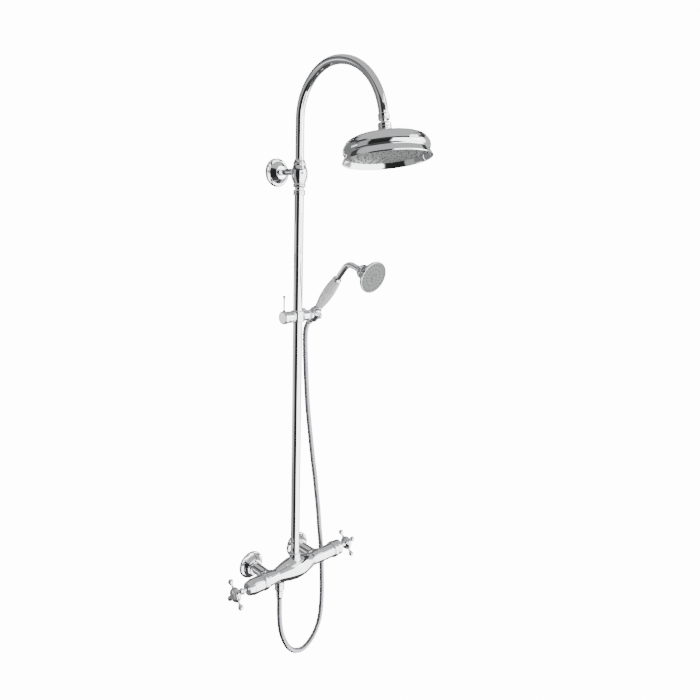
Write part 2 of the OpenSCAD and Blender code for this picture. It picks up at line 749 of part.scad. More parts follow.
module swivel_nut() {
    r = collar_thread_r + swivel_nut_wall;
    r_in = ball_r - 0.8;
    color("gainsboro") on_arm_end() lathe([
        [r_in + 0.4, nut_top_z], [r - 2.4, nut_top_z], [r - 0.6, nut_top_z - 1.6], [r, nut_top_z - 3],
        [r, nut_end_z + 1.5], [r - 0.8, nut_end_z], [collar_thread_r + seated, nut_end_z],
        [collar_thread_r + seated, nut_end_z + 6], [collar_thread_r - 1, nut_end_z + 6],
        [collar_thread_r - 1, nut_top_z - nut_lip_l], [r_in, nut_top_z - nut_lip_l]]);
}

// ---- Rain head: heights are measured up from the rim ----

module head_shell() {
    k = head_h / 52;
    outside = [[0, 0], [0, 2.5], [1.5, 5], [3.5, 9], [5.5, 13], [6, 14.5], [4.5, 16], [3, 20],
        [3, 25], [4.5, 30], [7, 34], [8.5, 35], [10, 38], [15, 41.5], [20, 43.5], [21, 44.5],
        [40, 48], [60, 50.5]];
    inside = [[60, 48.9], [40, 46.3], [22, 42.4], [16.3, 40], [11.8, 36.6], [8.8, 33.2],
        [6.3, 29.5], [5, 25], [5, 20], [8, 16], [5.6, 10], [1.6, 2.8], [1.6, 0]];
    pocket = -rim_z + ball_z - ball_r - loose;
    color("gainsboro") on_rim(0) lathe(concat(
        [for (p = outside) [head_r - p[0], p[1] * k]],
        [[16, head_h], [13, head_h + 0.4], [collar_thread_r - 0.4, head_h + 4],
         [collar_thread_r, -rim_z + nut_end_z], [collar_thread_r, -rim_z + nut_end_z + 5.6],
         [collar_thread_r - 1, -rim_z + nut_end_z + 5.6], [collar_thread_r - 1, pocket],
         [6, pocket], [6, head_h - head_wall]],
        [for (p = inside) [head_r - p[0], p[1] * k]]));
}

// Places on rings about an axis: n rings, the k-th with k times the count of the first.
module on_rings(n, pitch, first) {
    for (k = [1 : n], i = [0 : k * first - 1])
        rotate([0, 0, 360 * i / (k * first)]) translate([k * pitch, 0, 0]) children();
}

module head_face() {
    color("lightgray") on_rim(face_recess) difference() {
        cylinder(r = face_r, h = 2);
        on_rings(nozzle_rings, (face_r - 8) / nozzle_rings, 6)
            translate([0, 0, -1]) cylinder(d = nozzle_d, h = 4);
    }
}

module head_gasket() {
    color("dimgray") on_rim(face_recess + 0.3) ring(face_r + 1.2, face_r + seated, 1.4);
}

module head_nozzles() {
    color("gray") on_rim(face_recess - 1.4) on_rings(nozzle_rings, (face_r - 8) / nozzle_rings, 6)
        ring(nozzle_d / 2 - seated, 0.6, 4);
}

// ---- Slider and cradle ----

module along_x(x) rotate([0, 90, 0]) translate([0, 0, x]) children();

module at_tilt_screw(z) on_slider() translate([tilt_screw_x, 0, 0]) rotate([-25, 0, 0])
    translate([0, 0, z]) children();

module slider_body() {
    h = slider_collar_h;
    color("gainsboro") difference() {
        on_slider() union() {
            translate([0, 0, -h / 2]) rounded_ring(slider_collar_r, 1, h, 1);
            along_x(0) cylinder(d = slider_d, h = slider_end_x);
            along_x(-knob_boss_x) cylinder(r = 7, h = knob_boss_x);
        }
        on_slider() translate([0, 0, -h]) cylinder(r = bush_r + seated, h = 2 * h);
        on_slider() along_x(-knob_boss_x - 1) cylinder(r = clamp_screw_r + running, h = knob_boss_x);
        on_slider() along_x(journal_x) cylinder(r = journal_r + running, h = slider_d);
        at_tilt_screw(tilt_seat) cylinder(d = tilt_cap_d + 2 * seated, h = slider_d);
        at_tilt_screw(journal_r) cylinder(d = 5 + 2 * seated, h = slider_d);
    }
}

module slider_bush() {
    h = slider_collar_h + 1;
    color("dimgray") on_slider() translate([0, 0, -h / 2]) ring(bush_r, riser_r + running, h);
}

module clamp_pad() {
    color("dimgray") on_slider() along_x(-bush_r - 2.8) cylinder(r = clamp_screw_r - 0.1, h = 2.7);
}

module clamp_knob() {
    x0 = -knob_x0;
    x1 = -slider_collar_r - loose;
    r = knob_d / 2;
    flange = knob_flange_l;
    hollow = knob_x0 - knob_boss_x - 1;
    color("gainsboro") on_slider() difference() {
        along_x(x0) union() {
            lathe([[0, 0], [r - 1.5, 0], [r - 0.4, 0.5], [r, 1.6], [r, flange - 1.2],
                   [r - 1.7, flange], [r - 1.7, x1 - x0 - 1], [r - 2.4, x1 - x0],
                   [7.5, x1 - x0], [7.5, hollow], [clamp_screw_r, hollow],
                   [clamp_screw_r, knob_x0 - bush_r - 3.2], [0, knob_x0 - bush_r - 3.2]]);
        }
        translate([lever_x, 0, r / 2]) cylinder(r = lever_r + seated, h = r);
    }
}

module clamp_lever() {
    r = lever_r;
    l = lever_l;
    color("gainsboro") on_slider() translate([lever_x, 0, 0]) lathe([
        [0, knob_d / 4], [r, knob_d / 4], [r, knob_d / 2 + 0.5], [r * 1.35, knob_d / 2 + 1.5],
        [r, knob_d / 2 + 3], [r, l - 8], [r * 1.4, l - 4.5], [r * 2.2, l - 1.6], [r * 2.2, l - 0.5],
        [r * 1.8, l], [0, l]]);
}

module tilt_ring() {
    color("whitesmoke") on_slider() along_x(slider_end_x)
        rounded_ring(slider_d / 2, journal_r + loose, tilt_ring_l, 0.8);
}

module tilt_screw() {
    r = tilt_cap_d / 2;
    color("gainsboro") at_tilt_screw(0) lathe([
        [0, journal_r + 0.4], [2.5, journal_r + 0.4], [2.5, tilt_seat], [r, tilt_seat],
        [r, tilt_seat + 5.5], [r - 0.5, tilt_seat + 7], [r - 2, tilt_seat + 8.2],
        [0, tilt_seat + 8.8]]);
}

cradle_x0 = slider_end_x + tilt_ring_l + loose;

module cradle() {
    socket = cradle_socket_l;
    color("gainsboro") difference() {
        union() {
            on_slider() along_x(cradle_x0) lathe([
                [0, 0], [cradle_r - 0.8, 0], [cradle_r, 0.8],
                [cradle_r, cradle_end_x - cradle_x0 - 4], [cradle_r - 3, cradle_end_x - cradle_x0],
                [0, cradle_end_x - cradle_x0]]);
            on_handset(-socket / 2) rounded_ring(cradle_socket_r, 1, socket, 1);
            on_slider() along_x(journal_x + 1) cylinder(r = journal_r, h = cradle_x0 - journal_x);
        }
        on_handset(-socket) cylinder(
            r1 = cone_r(-socket) + running, r2 = cone_r(socket) + running, h = 2 * socket);
        on_handset(-socket) translate([0, -cradle_slot / 2, 0])
            cube([2 * cradle_socket_r, cradle_slot, 2 * socket]);
    }
}

// ---- Handset ----

module hose_cone() {
    bore_r = hose_d / 2 + 0.4;
    color("gainsboro") on_handset(0) lathe([
        [bore_r, tail_z], [bore_r + 1, tail_z], [bore_r + 1.4, tail_z + 1], [bore_r + 1.4, cone_z0 - 1],
        [cone_r0, cone_z0], [cone_r1, cone_z1], [cone_r1 + 0.8, cone_z1 + 0.4],
        [cone_r1 + 0.8, cone_top - 0.4], [cone_r1 + 0.4, cone_top],
        [spigot_r, cone_top], [spigot_r, cone_top + spigot_l], [handset_bore_r - 1, cone_top + spigot_l],
        [handset_bore_r - 1, 9], [bore_r, 9]]);
}

module handset_tube() {
    foot = cone_top + loose;
    cavity = cone_top + spigot_l + loose;
    color("gainsboro") on_handset(0) lathe([
        [spigot_r + running, foot], [10.6, foot], [11.3, foot + 0.8], [11.3, foot + 2.4],
        [9.4, foot + 4], [8.8, foot + 8], [9.4, handle_z - 1.2], [9.4, handle_z],
        [handset_bore_r, handle_z], [handset_bore_r, handle_top + 3],
        [handset_bore_r - 1.2, handle_top + 3], [handset_bore_r - 1.2, cavity],
        [spigot_r + running, cavity]]);
}

module handset_handle() {
    r = handle_d / 2;
    shape = [[0, r - 5], [0.06, r - 3.9], [0.22, r - 1.6], [0.4, r - 0.3], [0.55, r], [0.7, r - 0.2],
        [0.84, r - 1.2], [0.94, r - 2.4], [1, r - 3.3]];
    color("white") on_handset(handle_z) lathe(concat(
        [[handset_bore_r + seated, 0]], [for (p = shape) [p[1], p[0] * handle_l]],
        [[handset_bore_r + seated, handle_l]]));
}

module handset_neck() {
    r = handset_neck_d / 2;
    c = handset_collar_l;
    top = c + neck_rise;
    color("gainsboro") {
        on_handset(handle_top) {
            lathe([
                [handset_bore_r + seated, 0], [10.4, 0], [11.2, 0.8], [11.2, c - 2], [9.5, c - 0.8],
                [r + 0.4, c], [r, c + 2], [r, top], [r - tube_wall, top], [r - tube_wall, c],
                [handset_bore_r + seated, c]]);
            translate([0, -neck_bend_r, top]) rotate([90, 0, 90])
                rotate_extrude(angle = neck_bend) translate([neck_bend_r, 0]) tube_section(r);
        }
    }
}

module handset_rose() {
    neck_r = handset_neck_d / 2;
    base = [[0, neck_r + 1.2], [3, neck_r + 2], [8, neck_r + 7], [12, neck_r + 9], [18, neck_r + 10]];
    flare = [[24, 16.5], [32, 10.5], [41, 2.5], [45, 0.3], [46.5, 0], [49, 0]];
    k = rose_l / 49;
    r = rose_d / 2;
    color("gainsboro") on_rose(0) lathe(concat(
        [[neck_r, -rose_neck_l], [neck_r, -1]], [for (p = base) [p[1], p[0] * k]],
        [for (p = flare) [r - p[1], p[0] * k]],
        [[r - 1.6, rose_l], [r - 1.6, 46.3 * k], [r - 4, 41.6 * k], [r - 12, 33 * k],
         [r - 18, 25 * k], [neck_r + 8.4, 18.8 * k], [neck_r + 7.4, 13 * k],
         [neck_r + 5, 9.4 * k], [neck_r - tube_wall, 4.6 * k],
         [neck_r - tube_wall, -rose_neck_l]]));
}

module handset_face() {
    r = rose_d / 2 - 1.6 - seated;
    color("lightgray") on_rose(rose_l - 3) difference() {
        union() {
            cylinder(r = r, h = 2);
            cylinder(r = 5, h = 3);
        }
        on_rings(3, (r - 6) / 3, 8) translate([0, 0, -1]) cylinder(d = nozzle_d - 0.8, h = 4);
    }
}

module handset_nozzles() {
    r = rose_d / 2 - 1.6 - seated;
    color("gray") on_rose(rose_l - 3.4) on_rings(3, (r - 6) / 3, 8)
        ring(nozzle_d / 2 - 0.4 - seated, 0.4, 3.4);
}

mixer_body();
inlet_unions();
union_nuts();
inlet_filters();
check_valves();
inlet_rosettes();
diverter_cartridge();
thermostat_cartridge();
collars();
bonnets();
left_spindle();
left_hub();
left_spokes();
left_cap();
left_handle_screw();
right_spindle();
right_hub();
right_spokes();
right_cap();
right_handle_screw();
outlet_nipple();
hose_nut();
hose_ferrule();
hose();
foot_nut();
seals();
lower_riser();
upper_riser();
riser_sleeve();
bracket_body();
bracket_nut();
bracket_screw();
bracket_stem();
bracket_rosette();
arm_clip();
arm_tube();
arm_ferrule();
swivel_ball();
swivel_seat();
swivel_seal();
swivel_nut();
head_shell();
head_face();
head_gasket();
head_nozzles();
slider_body();
slider_bush();
clamp_pad();
clamp_knob();
clamp_lever();
tilt_ring();
tilt_screw();
cradle();
hose_cone();
handset_handle();
handset_tube();
handset_neck();
handset_rose();
handset_face();
handset_nozzles();
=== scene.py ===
"""Rainfall shower column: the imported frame, with smooth polished pieces over it."""
import json
import math

import bpy
import numpy as np
from mathutils import Matrix, Vector


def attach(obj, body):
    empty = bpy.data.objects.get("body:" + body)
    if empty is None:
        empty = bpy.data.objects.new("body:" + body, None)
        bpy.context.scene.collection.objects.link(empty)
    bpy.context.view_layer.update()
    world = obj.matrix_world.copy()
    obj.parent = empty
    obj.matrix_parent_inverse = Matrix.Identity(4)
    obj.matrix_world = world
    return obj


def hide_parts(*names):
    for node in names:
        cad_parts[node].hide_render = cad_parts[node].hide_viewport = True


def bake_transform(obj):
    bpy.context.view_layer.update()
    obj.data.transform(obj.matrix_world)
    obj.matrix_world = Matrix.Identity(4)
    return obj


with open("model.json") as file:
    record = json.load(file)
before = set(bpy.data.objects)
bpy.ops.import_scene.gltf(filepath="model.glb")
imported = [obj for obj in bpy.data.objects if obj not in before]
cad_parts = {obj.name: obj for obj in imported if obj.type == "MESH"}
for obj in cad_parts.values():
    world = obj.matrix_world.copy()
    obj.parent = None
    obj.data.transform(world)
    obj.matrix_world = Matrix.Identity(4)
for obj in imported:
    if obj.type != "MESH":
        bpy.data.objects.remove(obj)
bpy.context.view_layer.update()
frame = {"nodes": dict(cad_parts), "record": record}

# ---- The sizes that the pieces share with the CAD model, in millimetres and degrees ----

MM = 0.001

# Mixer: the bar lies along X, and its two necks go back towards the wall at y = 0.
BAR_Y = -85.0
NECK_R, BOSS_R = 13.5, 14.0
PORT_R, PORT_END, PORT_FACE_R = 12.0, 20.0, 12.5
LEFT_END, RIGHT_END = 89.0, 124.0
COLLAR_W = 14.0
LEFT_HUB, RIGHT_HUB = 177.0, 180.0
INLET_X = 75.0
OUTLET_X = 48.0
HANDLE_ANGLE = 42.0
# Riser and bracket
RISER_R, RISER_BORE, RISER_JOINT = 11.0, 9.8, 790.0
BRACKET_Z = 975.0
STEM_R = 7.5
STEM_HOLE_R = STEM_R + 0.02
# Arm and rain head: the crown of the arm, its two bends and how far its end leans back
ARM_R = 10.0
ARM_TOP_Y, ARM_TOP_Z = -196.0, 1199.0
BACK_BEND, FRONT_BEND, ARM_TILT = 111.0, 146.0, 9.5
HEAD_RIM = -91.0
BALL_R, BALL_Z = 10.0, -26.0
# Slider and cradle
SLIDER_Z = 642.0
SLIDER_R, SLIDER_ARM_R, SLIDER_BOSS_R = 16.0, 12.5, 7.0
BUSH_HOLE_R = 12.22
SEAT_X, SEAT_TILT = 22.0, 25.0
JOURNAL_R, JOURNAL_HOLE_R = 6.0, 6.06
CRADLE_X, TILT = 50.0, 41.0
BARREL_R, SOCKET_R = 12.7, 14.5
CONE_R, CONE_L, CONE_GROWTH = 8.9, 28.0, 2.5
# Handset: stations along its axis, then the bend of its neck
NECK_START, NECK_TOP = 124.5, 158.0
NECK_TUBE_R = 7.0
NECK_BEND_R, NECK_BEND = 25.0, 67.0
ROSE_NECK = 20.0
HOSE_D = 13.0


# ---- Frames: each turns local +Z to the direction that its name says ----

def move(x, y, z):
    return Matrix.Translation((x, y, z))


def turn(degrees, axis):
    return Matrix.Rotation(math.radians(degrees), 4, axis)


def on_bar(x):
    return move(x, BAR_Y, 0) @ turn(90, "Y")


def on_bar_left(x):
    return move(-x, BAR_Y, 0) @ turn(-90, "Y")


def out_of_wall(x, z):
    return move(x, 0, z) @ turn(90, "X")


def on_riser(z):
    return move(0, BAR_Y, z)


def on_arm_end(z=0.0):
    a = math.radians(ARM_TILT)
    y = ARM_TOP_Y - FRONT_BEND * math.cos(a)
    top = ARM_TOP_Z - FRONT_BEND * (1 - math.sin(a))
    return move(0, y, top) @ turn(-ARM_TILT, "X") @ move(0, 0, z)


def on_slider(x=0.0):
    return move(x, BAR_Y, SLIDER_Z)


def along_x(x):
    return on_slider() @ turn(90, "Y") @ move(0, 0, x)


def on_handset(s):
    return move(CRADLE_X, BAR_Y, SLIDER_Z) @ turn(TILT, "X") @ move(0, 0, s)


def on_rose(s):
    return (on_handset(NECK_TOP) @ move(0, -NECK_BEND_R, 0) @ turn(NECK_BEND, "X")
            @ move(0, NECK_BEND_R, ROSE_NECK + s))


# ---- Materials ----

def nodes_of(name):
    mat = bpy.data.materials.new(name)
    mat.use_nodes = True
    tree = mat.node_tree
    return mat, tree, tree.nodes["Principled BSDF"]


def coordinates(tree):
    return tree.nodes.new("ShaderNodeTexCoord").outputs["Object"]


def noise(tree, vector, scale, detail=3.0, rough=0.5):
    n = tree.nodes.new("ShaderNodeTexNoise")
    n.inputs["Scale"].default_value = scale
    n.inputs["Detail"].default_value = detail
    n.inputs["Roughness"].default_value = rough
    tree.links.new(vector, n.inputs["Vector"])
    return n.outputs["Fac"]


def ramp(tree, fac, stops, colour=False):
    r = tree.nodes.new("ShaderNodeValToRGB")
    e = r.color_ramp.elements
    while len(e) < len(stops):
        e.new(0.5)
    for item, (at, value) in zip(e, stops):
        item.position = at
        item.color = (*value, 1) if colour else (value, value, value, 1)
    tree.links.new(fac, r.inputs["Fac"])
    return r.outputs["Color"]


def bump(tree, height, strength, distance, base=None):
    b = tree.nodes.new("ShaderNodeBump")
    b.inputs["Strength"].default_value = strength
    b.inputs["Distance"].default_value = distance
    tree.links.new(height, b.inputs["Height"])
    if base is not None:
        tree.links.new(base, b.inputs["Normal"])
    return b.outputs["Normal"]


SMEAR_SCALE, PEEL_SCALE, FINE_SCALE = 14, 45, 900


def metal(name, tone, rough, dull, peel):
    """Polished metal: a colour that varies a little, smears of dullness and a faint orange peel."""
    mat, tree, shader = nodes_of(name)
    at = coordinates(tree)
    smear = noise(tree, at, SMEAR_SCALE, 4, 0.6)
    fine = noise(tree, at, FINE_SCALE, 2, 0.5)
    dark = tuple(0.93 * c for c in tone)
    tree.links.new(ramp(tree, smear, [(0.3, dark), (0.7, tone)], True), shader.inputs["Base Color"])
    tree.links.new(ramp(tree, smear, [(0.35, rough), (0.75, dull)]), shader.inputs["Roughness"])
    normal = bump(tree, noise(tree, at, PEEL_SCALE, 2, 0.4), 0.15, peel)
    tree.links.new(bump(tree, fine, 0.04, peel * 0.5, normal), shader.inputs["Normal"])
    shader.inputs["Metallic"].default_value = 1.0
    return mat


def porcelain():
    """Glazed porcelain: warm white under a clear glaze, with a pooled, barely uneven surface."""
    mat, tree, shader = nodes_of("Porcelain")
    at = coordinates(tree)
    cloud = noise(tree, at, 30, 4, 0.6)
    tree.links.new(ramp(tree, cloud, [(0.3, (0.80, 0.80, 0.785)), (0.7, (0.87, 0.87, 0.855))], True),
                   shader.inputs["Base Color"])
    tree.links.new(ramp(tree, cloud, [(0.3, 0.16), (0.8, 0.24)]), shader.inputs["Roughness"])
    tree.links.new(bump(tree, noise(tree, at, 55, 2), 0.12, 0.0003), shader.inputs["Normal"])
    shader.inputs["Coat Weight"].default_value = 1.0
    shader.inputs["Coat Roughness"].default_value = 0.04
    shader.inputs["Subsurface Weight"].default_value = 0.08
    shader.inputs["Subsurface Radius"].default_value = (0.002, 0.0018, 0.0015)
    return mat


def moulded(name, tone, rough, grain=1500.0, depth=0.0001, variation=0.06):
    """Moulded plastic or rubber: a fine grain, and a tone that drifts slightly."""
    mat, tree, shader = nodes_of(name)
    at = coordinates(tree)
    drift = noise(tree, at, 22, 4, 0.6)
    dark = tuple(c * (1 - variation) for c in tone)
    light = tuple(min(1, c * (1 + variation)) for c in tone)
    tree.links.new(ramp(tree, drift, [(0.3, dark), (0.7, light)], True), shader.inputs["Base Color"])
    tree.links.new(ramp(tree, drift, [(0.3, rough), (0.7, rough + 0.08)]), shader.inputs["Roughness"])
    tree.links.new(bump(tree, noise(tree, at, grain, 3), 0.3, depth), shader.inputs["Normal"])
    return mat


CHROME = metal("Chrome", (0.80, 0.81, 0.83), 0.015, 0.04, 0.00004)
HOSE_METAL = metal("Hose chrome", (0.36, 0.37, 0.385), 0.10, 0.16, 0.0001)
BRASS = metal("Bare brass", (0.72, 0.54, 0.27), 0.22, 0.34, 0.0002)
STEEL = metal("Stainless", (0.60, 0.60, 0.61), 0.25, 0.36, 0.0002)
PORCELAIN = porcelain()
SEAL = moulded("Seal rubber", (0.035, 0.035, 0.036), 0.55)
NOZZLE = moulded("Nozzle silicone", (0.17, 0.175, 0.18), 0.5)
VALVE = moulded("Valve plastic", (0.62, 0.61, 0.57), 0.45)
PALE = moulded("Friction ring", (0.74, 0.75, 0.76), 0.38)
# One face plastic in two tones. This copy carries painted shade: it is darker for the handset's face,
# which turns towards the dark side of the studio.
FACE_PAINTED_DARKER = moulded("Face plate, painted darker", (0.145, 0.152, 0.152), 0.42, 1200, 0.00008, 0.03)
LEVER = metal("Lever chrome", (0.10, 0.105, 0.11), 0.05, 0.10, 0.00006)
# Painted light: a lighter copy of the same face plastic, for the rain head's face, which is lit from
# below.
RAIN_FACE_PAINTED_LIGHTER = moulded("Rain face plate, painted lighter", (0.33, 0.34, 0.34), 0.34, 1200, 0.00008, 0.03)

SLOTS = {"chrome": CHROME, "bare_brass": BRASS, "steel": STEEL, "hose_metal": HOSE_METAL,
         "seal_rubber": SEAL, "nozzle_rubber": NOZZLE, "valve_plastic": VALVE,
         "face_plastic": FACE_PAINTED_DARKER, "porcelain": PORCELAIN}
for sub in frame["record"]["subparts"]:
    obj = frame["nodes"][sub["node"]]
    obj.data.materials.clear()
    obj.data.materials.append(SLOTS[sub["material_slot"]])


# ---- Making pieces ----

def finish_piece(name, verts, faces, mat, body, cad=(), sharp=32.0, normals=None):
    """A mesh in millimetres becomes a piece that rides on a body and stands for CAD nodes.
    A pair of bodies leaves the piece unattached."""
    mesh = bpy.data.meshes.new(name)
    mesh.from_pydata([tuple(MM * c for c in v) for v in verts], [], [list(f) for f in faces])
    mesh.validate()
    mesh.polygons.foreach_set("use_smooth", [True] * len(mesh.polygons))
    if normals is None:
        mesh.set_sharp_from_angle(angle=math.radians(sharp))
    else:
        mesh.normals_split_custom_set_from_vertices(normals)
    mesh.update()
    obj = bpy.data.objects.new(name, mesh)
    bpy.context.scene.collection.objects.link(obj)
    obj.data.materials.append(mat)
    if isinstance(body, str):
        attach(obj, body)
    if cad:
        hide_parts(*cad)
    return obj


def rounded(points, radius, steps=3):
    """A closed outline with each corner rounded, except those on the axis."""
    if radius <= 0:
        return list(points)
    out = []
    n = len(points)
    for i, p in enumerate(points):
        a, b = Vector(points[i - 1]), Vector(points[(i + 1) % n])
        p = Vector(p)
        u, v = a - p, b - p
        lu, lv = u.length, v.length
        if p.x < 1e-6 or lu < 1e-9 or lv < 1e-9:
            out.append(tuple(p))
            continue
        u, v = u / lu, v / lv
        bend = math.pi - u.angle(v)
        if bend < math.radians(3):
            out.append(tuple(p))
            continue
        reach = min(radius * math.tan(bend / 2), 0.45 * lu, 0.45 * lv)
        start, end = p + u * reach, p + v * reach
        for k in range(steps + 1):
            t = k / steps
            out.append(tuple((1 - t) ** 2 * start + 2 * t * (1 - t) * p + t * t * end))
    return out


def smooth_curve(points, per=6):
    """A Catmull-Rom curve through points of any dimension."""
    pts = [Vector(p) for p in points]
    last = len(pts) - 1
    out = []
    for i in range(last):
        p0, p1, p2, p3 = pts[max(0, i - 1)], pts[i], pts[i + 1], pts[min(last, i + 2)]
        for k in range(per):
            t = k / per
            out.append(0.5 * (2 * p1 + (p2 - p0) * t + (2 * p0 - 5 * p1 + 4 * p2 - p3) * t * t
                              + (3 * p1 - p0 - 3 * p2 + p3) * t ** 3))
    return out + [pts[last]]


def revolve(outline, place, sides=96):
    """Vertices and faces of a closed outline turned about local Z."""
    verts, rings = [], []
    for r, z in outline:
        if r < 1e-6:
            verts.append(place @ Vector((0, 0, z)))
            rings.append([len(verts) - 1] * sides)
            continue
        ring = []
        for k in range(sides):
            a = 2 * math.pi * k / sides
            verts.append(place @ Vector((r * math.cos(a), r * math.sin(a), z)))
            ring.append(len(verts) - 1)
        rings.append(ring)
    faces = []
    n = len(rings)
    for i in range(n):
        a, b = rings[i], rings[(i + 1) % n]
        for k in range(sides):
            m = (k + 1) % sides
            corner = [a[k], a[m], b[m], b[k]]
            corner = [c for j, c in enumerate(corner) if c not in corner[:j]]
            if len(corner) > 2:
                faces.append(corner)
    area = sum(outline[i][0] * outline[(i + 1) % n][1] - outline[(i + 1) % n][0] * outline[i][1]
               for i in range(n))
    return verts, faces if area > 0 else [f[::-1] for f in faces]


def lathe(name, outline, places, mat, body, cad=(), edge=0.5, sides=96, sharp=32.0):
    """The same turned shape at each place, as one piece."""
    shape = rounded([tuple(p) for p in outline], edge)
    verts, faces = [], []
    for place in places if isinstance(places, list) else [places]:
        v, f = revolve(shape, place, sides)
        faces += [[c + len(verts) for c in q] for q in f]
        verts += v
    return finish_piece(name, verts, faces, mat, body, cad, sharp)


def sweep(path, radius_at, sides):
    """A round closed tube along a path in millimetres; its radius is a function of arc length."""
    pts = [Vector(p) for p in path]
    n = len(pts)
    tangents = [(pts[min(n - 1, i + 1)] - pts[max(0, i - 1)]).normalized() for i in range(n)]
    side = tangents[0].orthogonal().normalized()
    verts, faces, s = [], [], 0.0
    for i, (p, t) in enumerate(zip(pts, tangents)):
        side = (side - t * side.dot(t)).normalized()
        other = t.cross(side)
        s += (p - pts[i - 1]).length if i else 0.0
        r = radius_at(s)
        for k in range(sides):
            a = 2 * math.pi * k / sides
            verts.append(p + r * (math.cos(a) * side + math.sin(a) * other))
    for i in range(n - 1):
        for k in range(sides):
            a, b = i * sides + k, i * sides + (k + 1) % sides
            faces.append([a, b, b + sides, a + sides])
    faces.append(list(range(sides))[::-1])
    faces.append([(n - 1) * sides + k for k in range(sides)])
    return verts, faces


def net(field, low, high, step):
    """Surface net of a signed distance field: a closed mesh of its zero level."""
    axes = [np.arange(l - 2 * step, h + 2.5 * step, step) for l, h in zip(low, high)]
    grid = np.stack(np.meshgrid(*axes, indexing="ij"), -1)
    value = field(grid.reshape(-1, 3)).reshape(grid.shape[:3])
    inside = value < 0
    cells = np.zeros([k - 1 for k in inside.shape], int)
    for dx in (0, 1):
        for dy in (0, 1):
            for dz in (0, 1):
                cells += inside[dx:inside.shape[0] - 1 + dx, dy:inside.shape[1] - 1 + dy,
                                dz:inside.shape[2] - 1 + dz]
    mixed = (cells > 0) & (cells < 8)
    index = -np.ones(cells.shape, int)
    index[mixed] = np.arange(mixed.sum())
    origin = np.array([a[0] for a in axes])
    points = origin + (np.argwhere(mixed) + 0.5) * step
    faces = []
    for axis in range(3):
        u, v = (axis + 1) % 3, (axis + 2) % 3
        near = [slice(None)] * 3
        far = [slice(None)] * 3
        near[axis], far[axis] = slice(0, -1), slice(1, None)
        a, b = inside[tuple(near)], inside[tuple(far)]
        spots = np.argwhere(a != b)
        flip = b[tuple(spots.T)]
        for spot, back in zip(spots, flip):
            quad = []
            for du, dv in ((-1, -1), (0, -1), (0, 0), (-1, 0)):
                c = spot.copy()
                c[u] += du
                c[v] += dv
                quad.append(int(index[tuple(c)]))
            faces.append(quad[::-1] if back else quad)
    points, normals = settle(points, field, step)
    return points, faces, normals


def gradient(points, field, h=0.02):
    g = np.zeros_like(points)
    for axis in range(3):
        d = np.zeros(3)
        d[axis] = h
        g[:, axis] = field(points + d) - field(points - d)
    return g / (2 * h)


def settle(points, field, step, steps=6):
    """Moves points on to the zero level, and gives the field's normals there."""
    for _ in range(steps):
        g = gradient(points, field)
        size = np.maximum((g * g).sum(1), 0.05)
        shift = g * (field(points) / size)[:, None]
        length = np.linalg.norm(shift, axis=1)
        shift *= np.minimum(1, 0.5 * step / np.maximum(length, 1e-9))[:, None]
        points = points - shift
    g = gradient(points, field)
    return points, g / np.maximum(np.linalg.norm(g, axis=1), 1e-9)[:, None]


def blend_in(a, b, k):
    """Smooth union of two fields, with a fillet of about k."""
    h = np.maximum(k - np.abs(a - b), 0) / k
    return np.minimum(a, b) - h * h * k / 4


def blend_out(a, b, k):
    """What is in a and not in b, with its edges eased by about k."""
    return -blend_in(-a, b, k)


def rod(p, centre, axis, radius, start=None, end=None, ease=0.8):
    """Field of a cylinder about an axis through centre, from start to end along it."""
    axis = np.array(axis, float)
    q = p - np.array(centre, float)
    along = q @ axis
    out = np.linalg.norm(q - along[:, None] * axis, axis=1) - radius
    if start is None:
        return out
    flat = np.maximum(start - along, along - end)
    return -blend_in(-out, -flat, ease)


def net_piece(name, field, low, high, step, mat, body, cad=(), sharp=None):
    points, faces, normals = net(field, low, high, step)
    return finish_piece(name, points.tolist(), faces, mat, body, cad,
                        sharp=sharp or 30.0, normals=None if sharp else normals.tolist())


# ---- Camera ----

YAW, PITCH, ROLL = 44.5, -9.5, 1.5
CAMERA_AT = (-0.936, -1.214, 0.876)
LENS, SENSOR, LENS_SHIFT = 32.25, 36, -0.04


def make_camera():
    """Turned right from the wall's normal, tipped down and rolled, at its place in metres."""
    yaw, pitch, roll = (math.radians(a) for a in (YAW, PITCH, ROLL))
    forward = Vector((math.sin(yaw) * math.cos(pitch), math.cos(yaw) * math.cos(pitch),
                      math.sin(pitch)))
    right = Vector((math.cos(yaw), -math.sin(yaw), 0))
    up = right.cross(forward)
    tilted = right * math.cos(roll) + up * math.sin(roll)
    upright = -right * math.sin(roll) + up * math.cos(roll)
    data = bpy.data.cameras.new("Camera")
    data.sensor_width = SENSOR
    data.lens = LENS
    data.shift_y = LENS_SHIFT
    cam = bpy.data.objects.new("Camera", data)
    cam.matrix_world = Matrix((
        (tilted.x, upright.x, -forward.x, CAMERA_AT[0]),
        (tilted.y, upright.y, -forward.y, CAMERA_AT[1]),
        (tilted.z, upright.z, -forward.z, CAMERA_AT[2]),
        (0, 0, 0, 1)))
    bpy.context.scene.collection.objects.link(cam)
    bpy.context.scene.camera = cam


# ---- Hose ----

HOSE_ROUTE = [
    (-48, -85, -52), (-48, -85, -80), (-47, -84, -110), (-44, -83, -140), (-37, -81, -170),
    (-25, -79, -200), (-8, -76, -228), (16, -72, -250), (46, -68, -261), (76, -63, -254),
    (100, -59, -234), (116, -55, -206), (123, -52, -172), (126, -50, -135), (126, -49, -95),
    (125, -48, -55), (122, -48, -15), (119, -48, 20), (114, -48, 60), (108, -49, 110),
    (101, -49, 160), (93, -50, 210), (84, -51, 260), (76, -52, 310), (68, -53, 360),
    (61, -54, 410), (56, -55, 460), (52, -56, 505), (50, -55.5, 545), (50, -54.5, 586),
    (50, -56, 599.5), (50, -60.5, 612), (50, -67.7, 622.2)]
HOSE_PITCH = 2.6
HOSE_RIB = 0.85
STEPS_PER_RIB = 6
CURVE_STEPS = 24
# How far the hose goes on inside the cone nut.
HOSE_IN_NUT = 30.0
# How many points of the route, from its end, are the top stretch.
TOP_STRETCH = 5


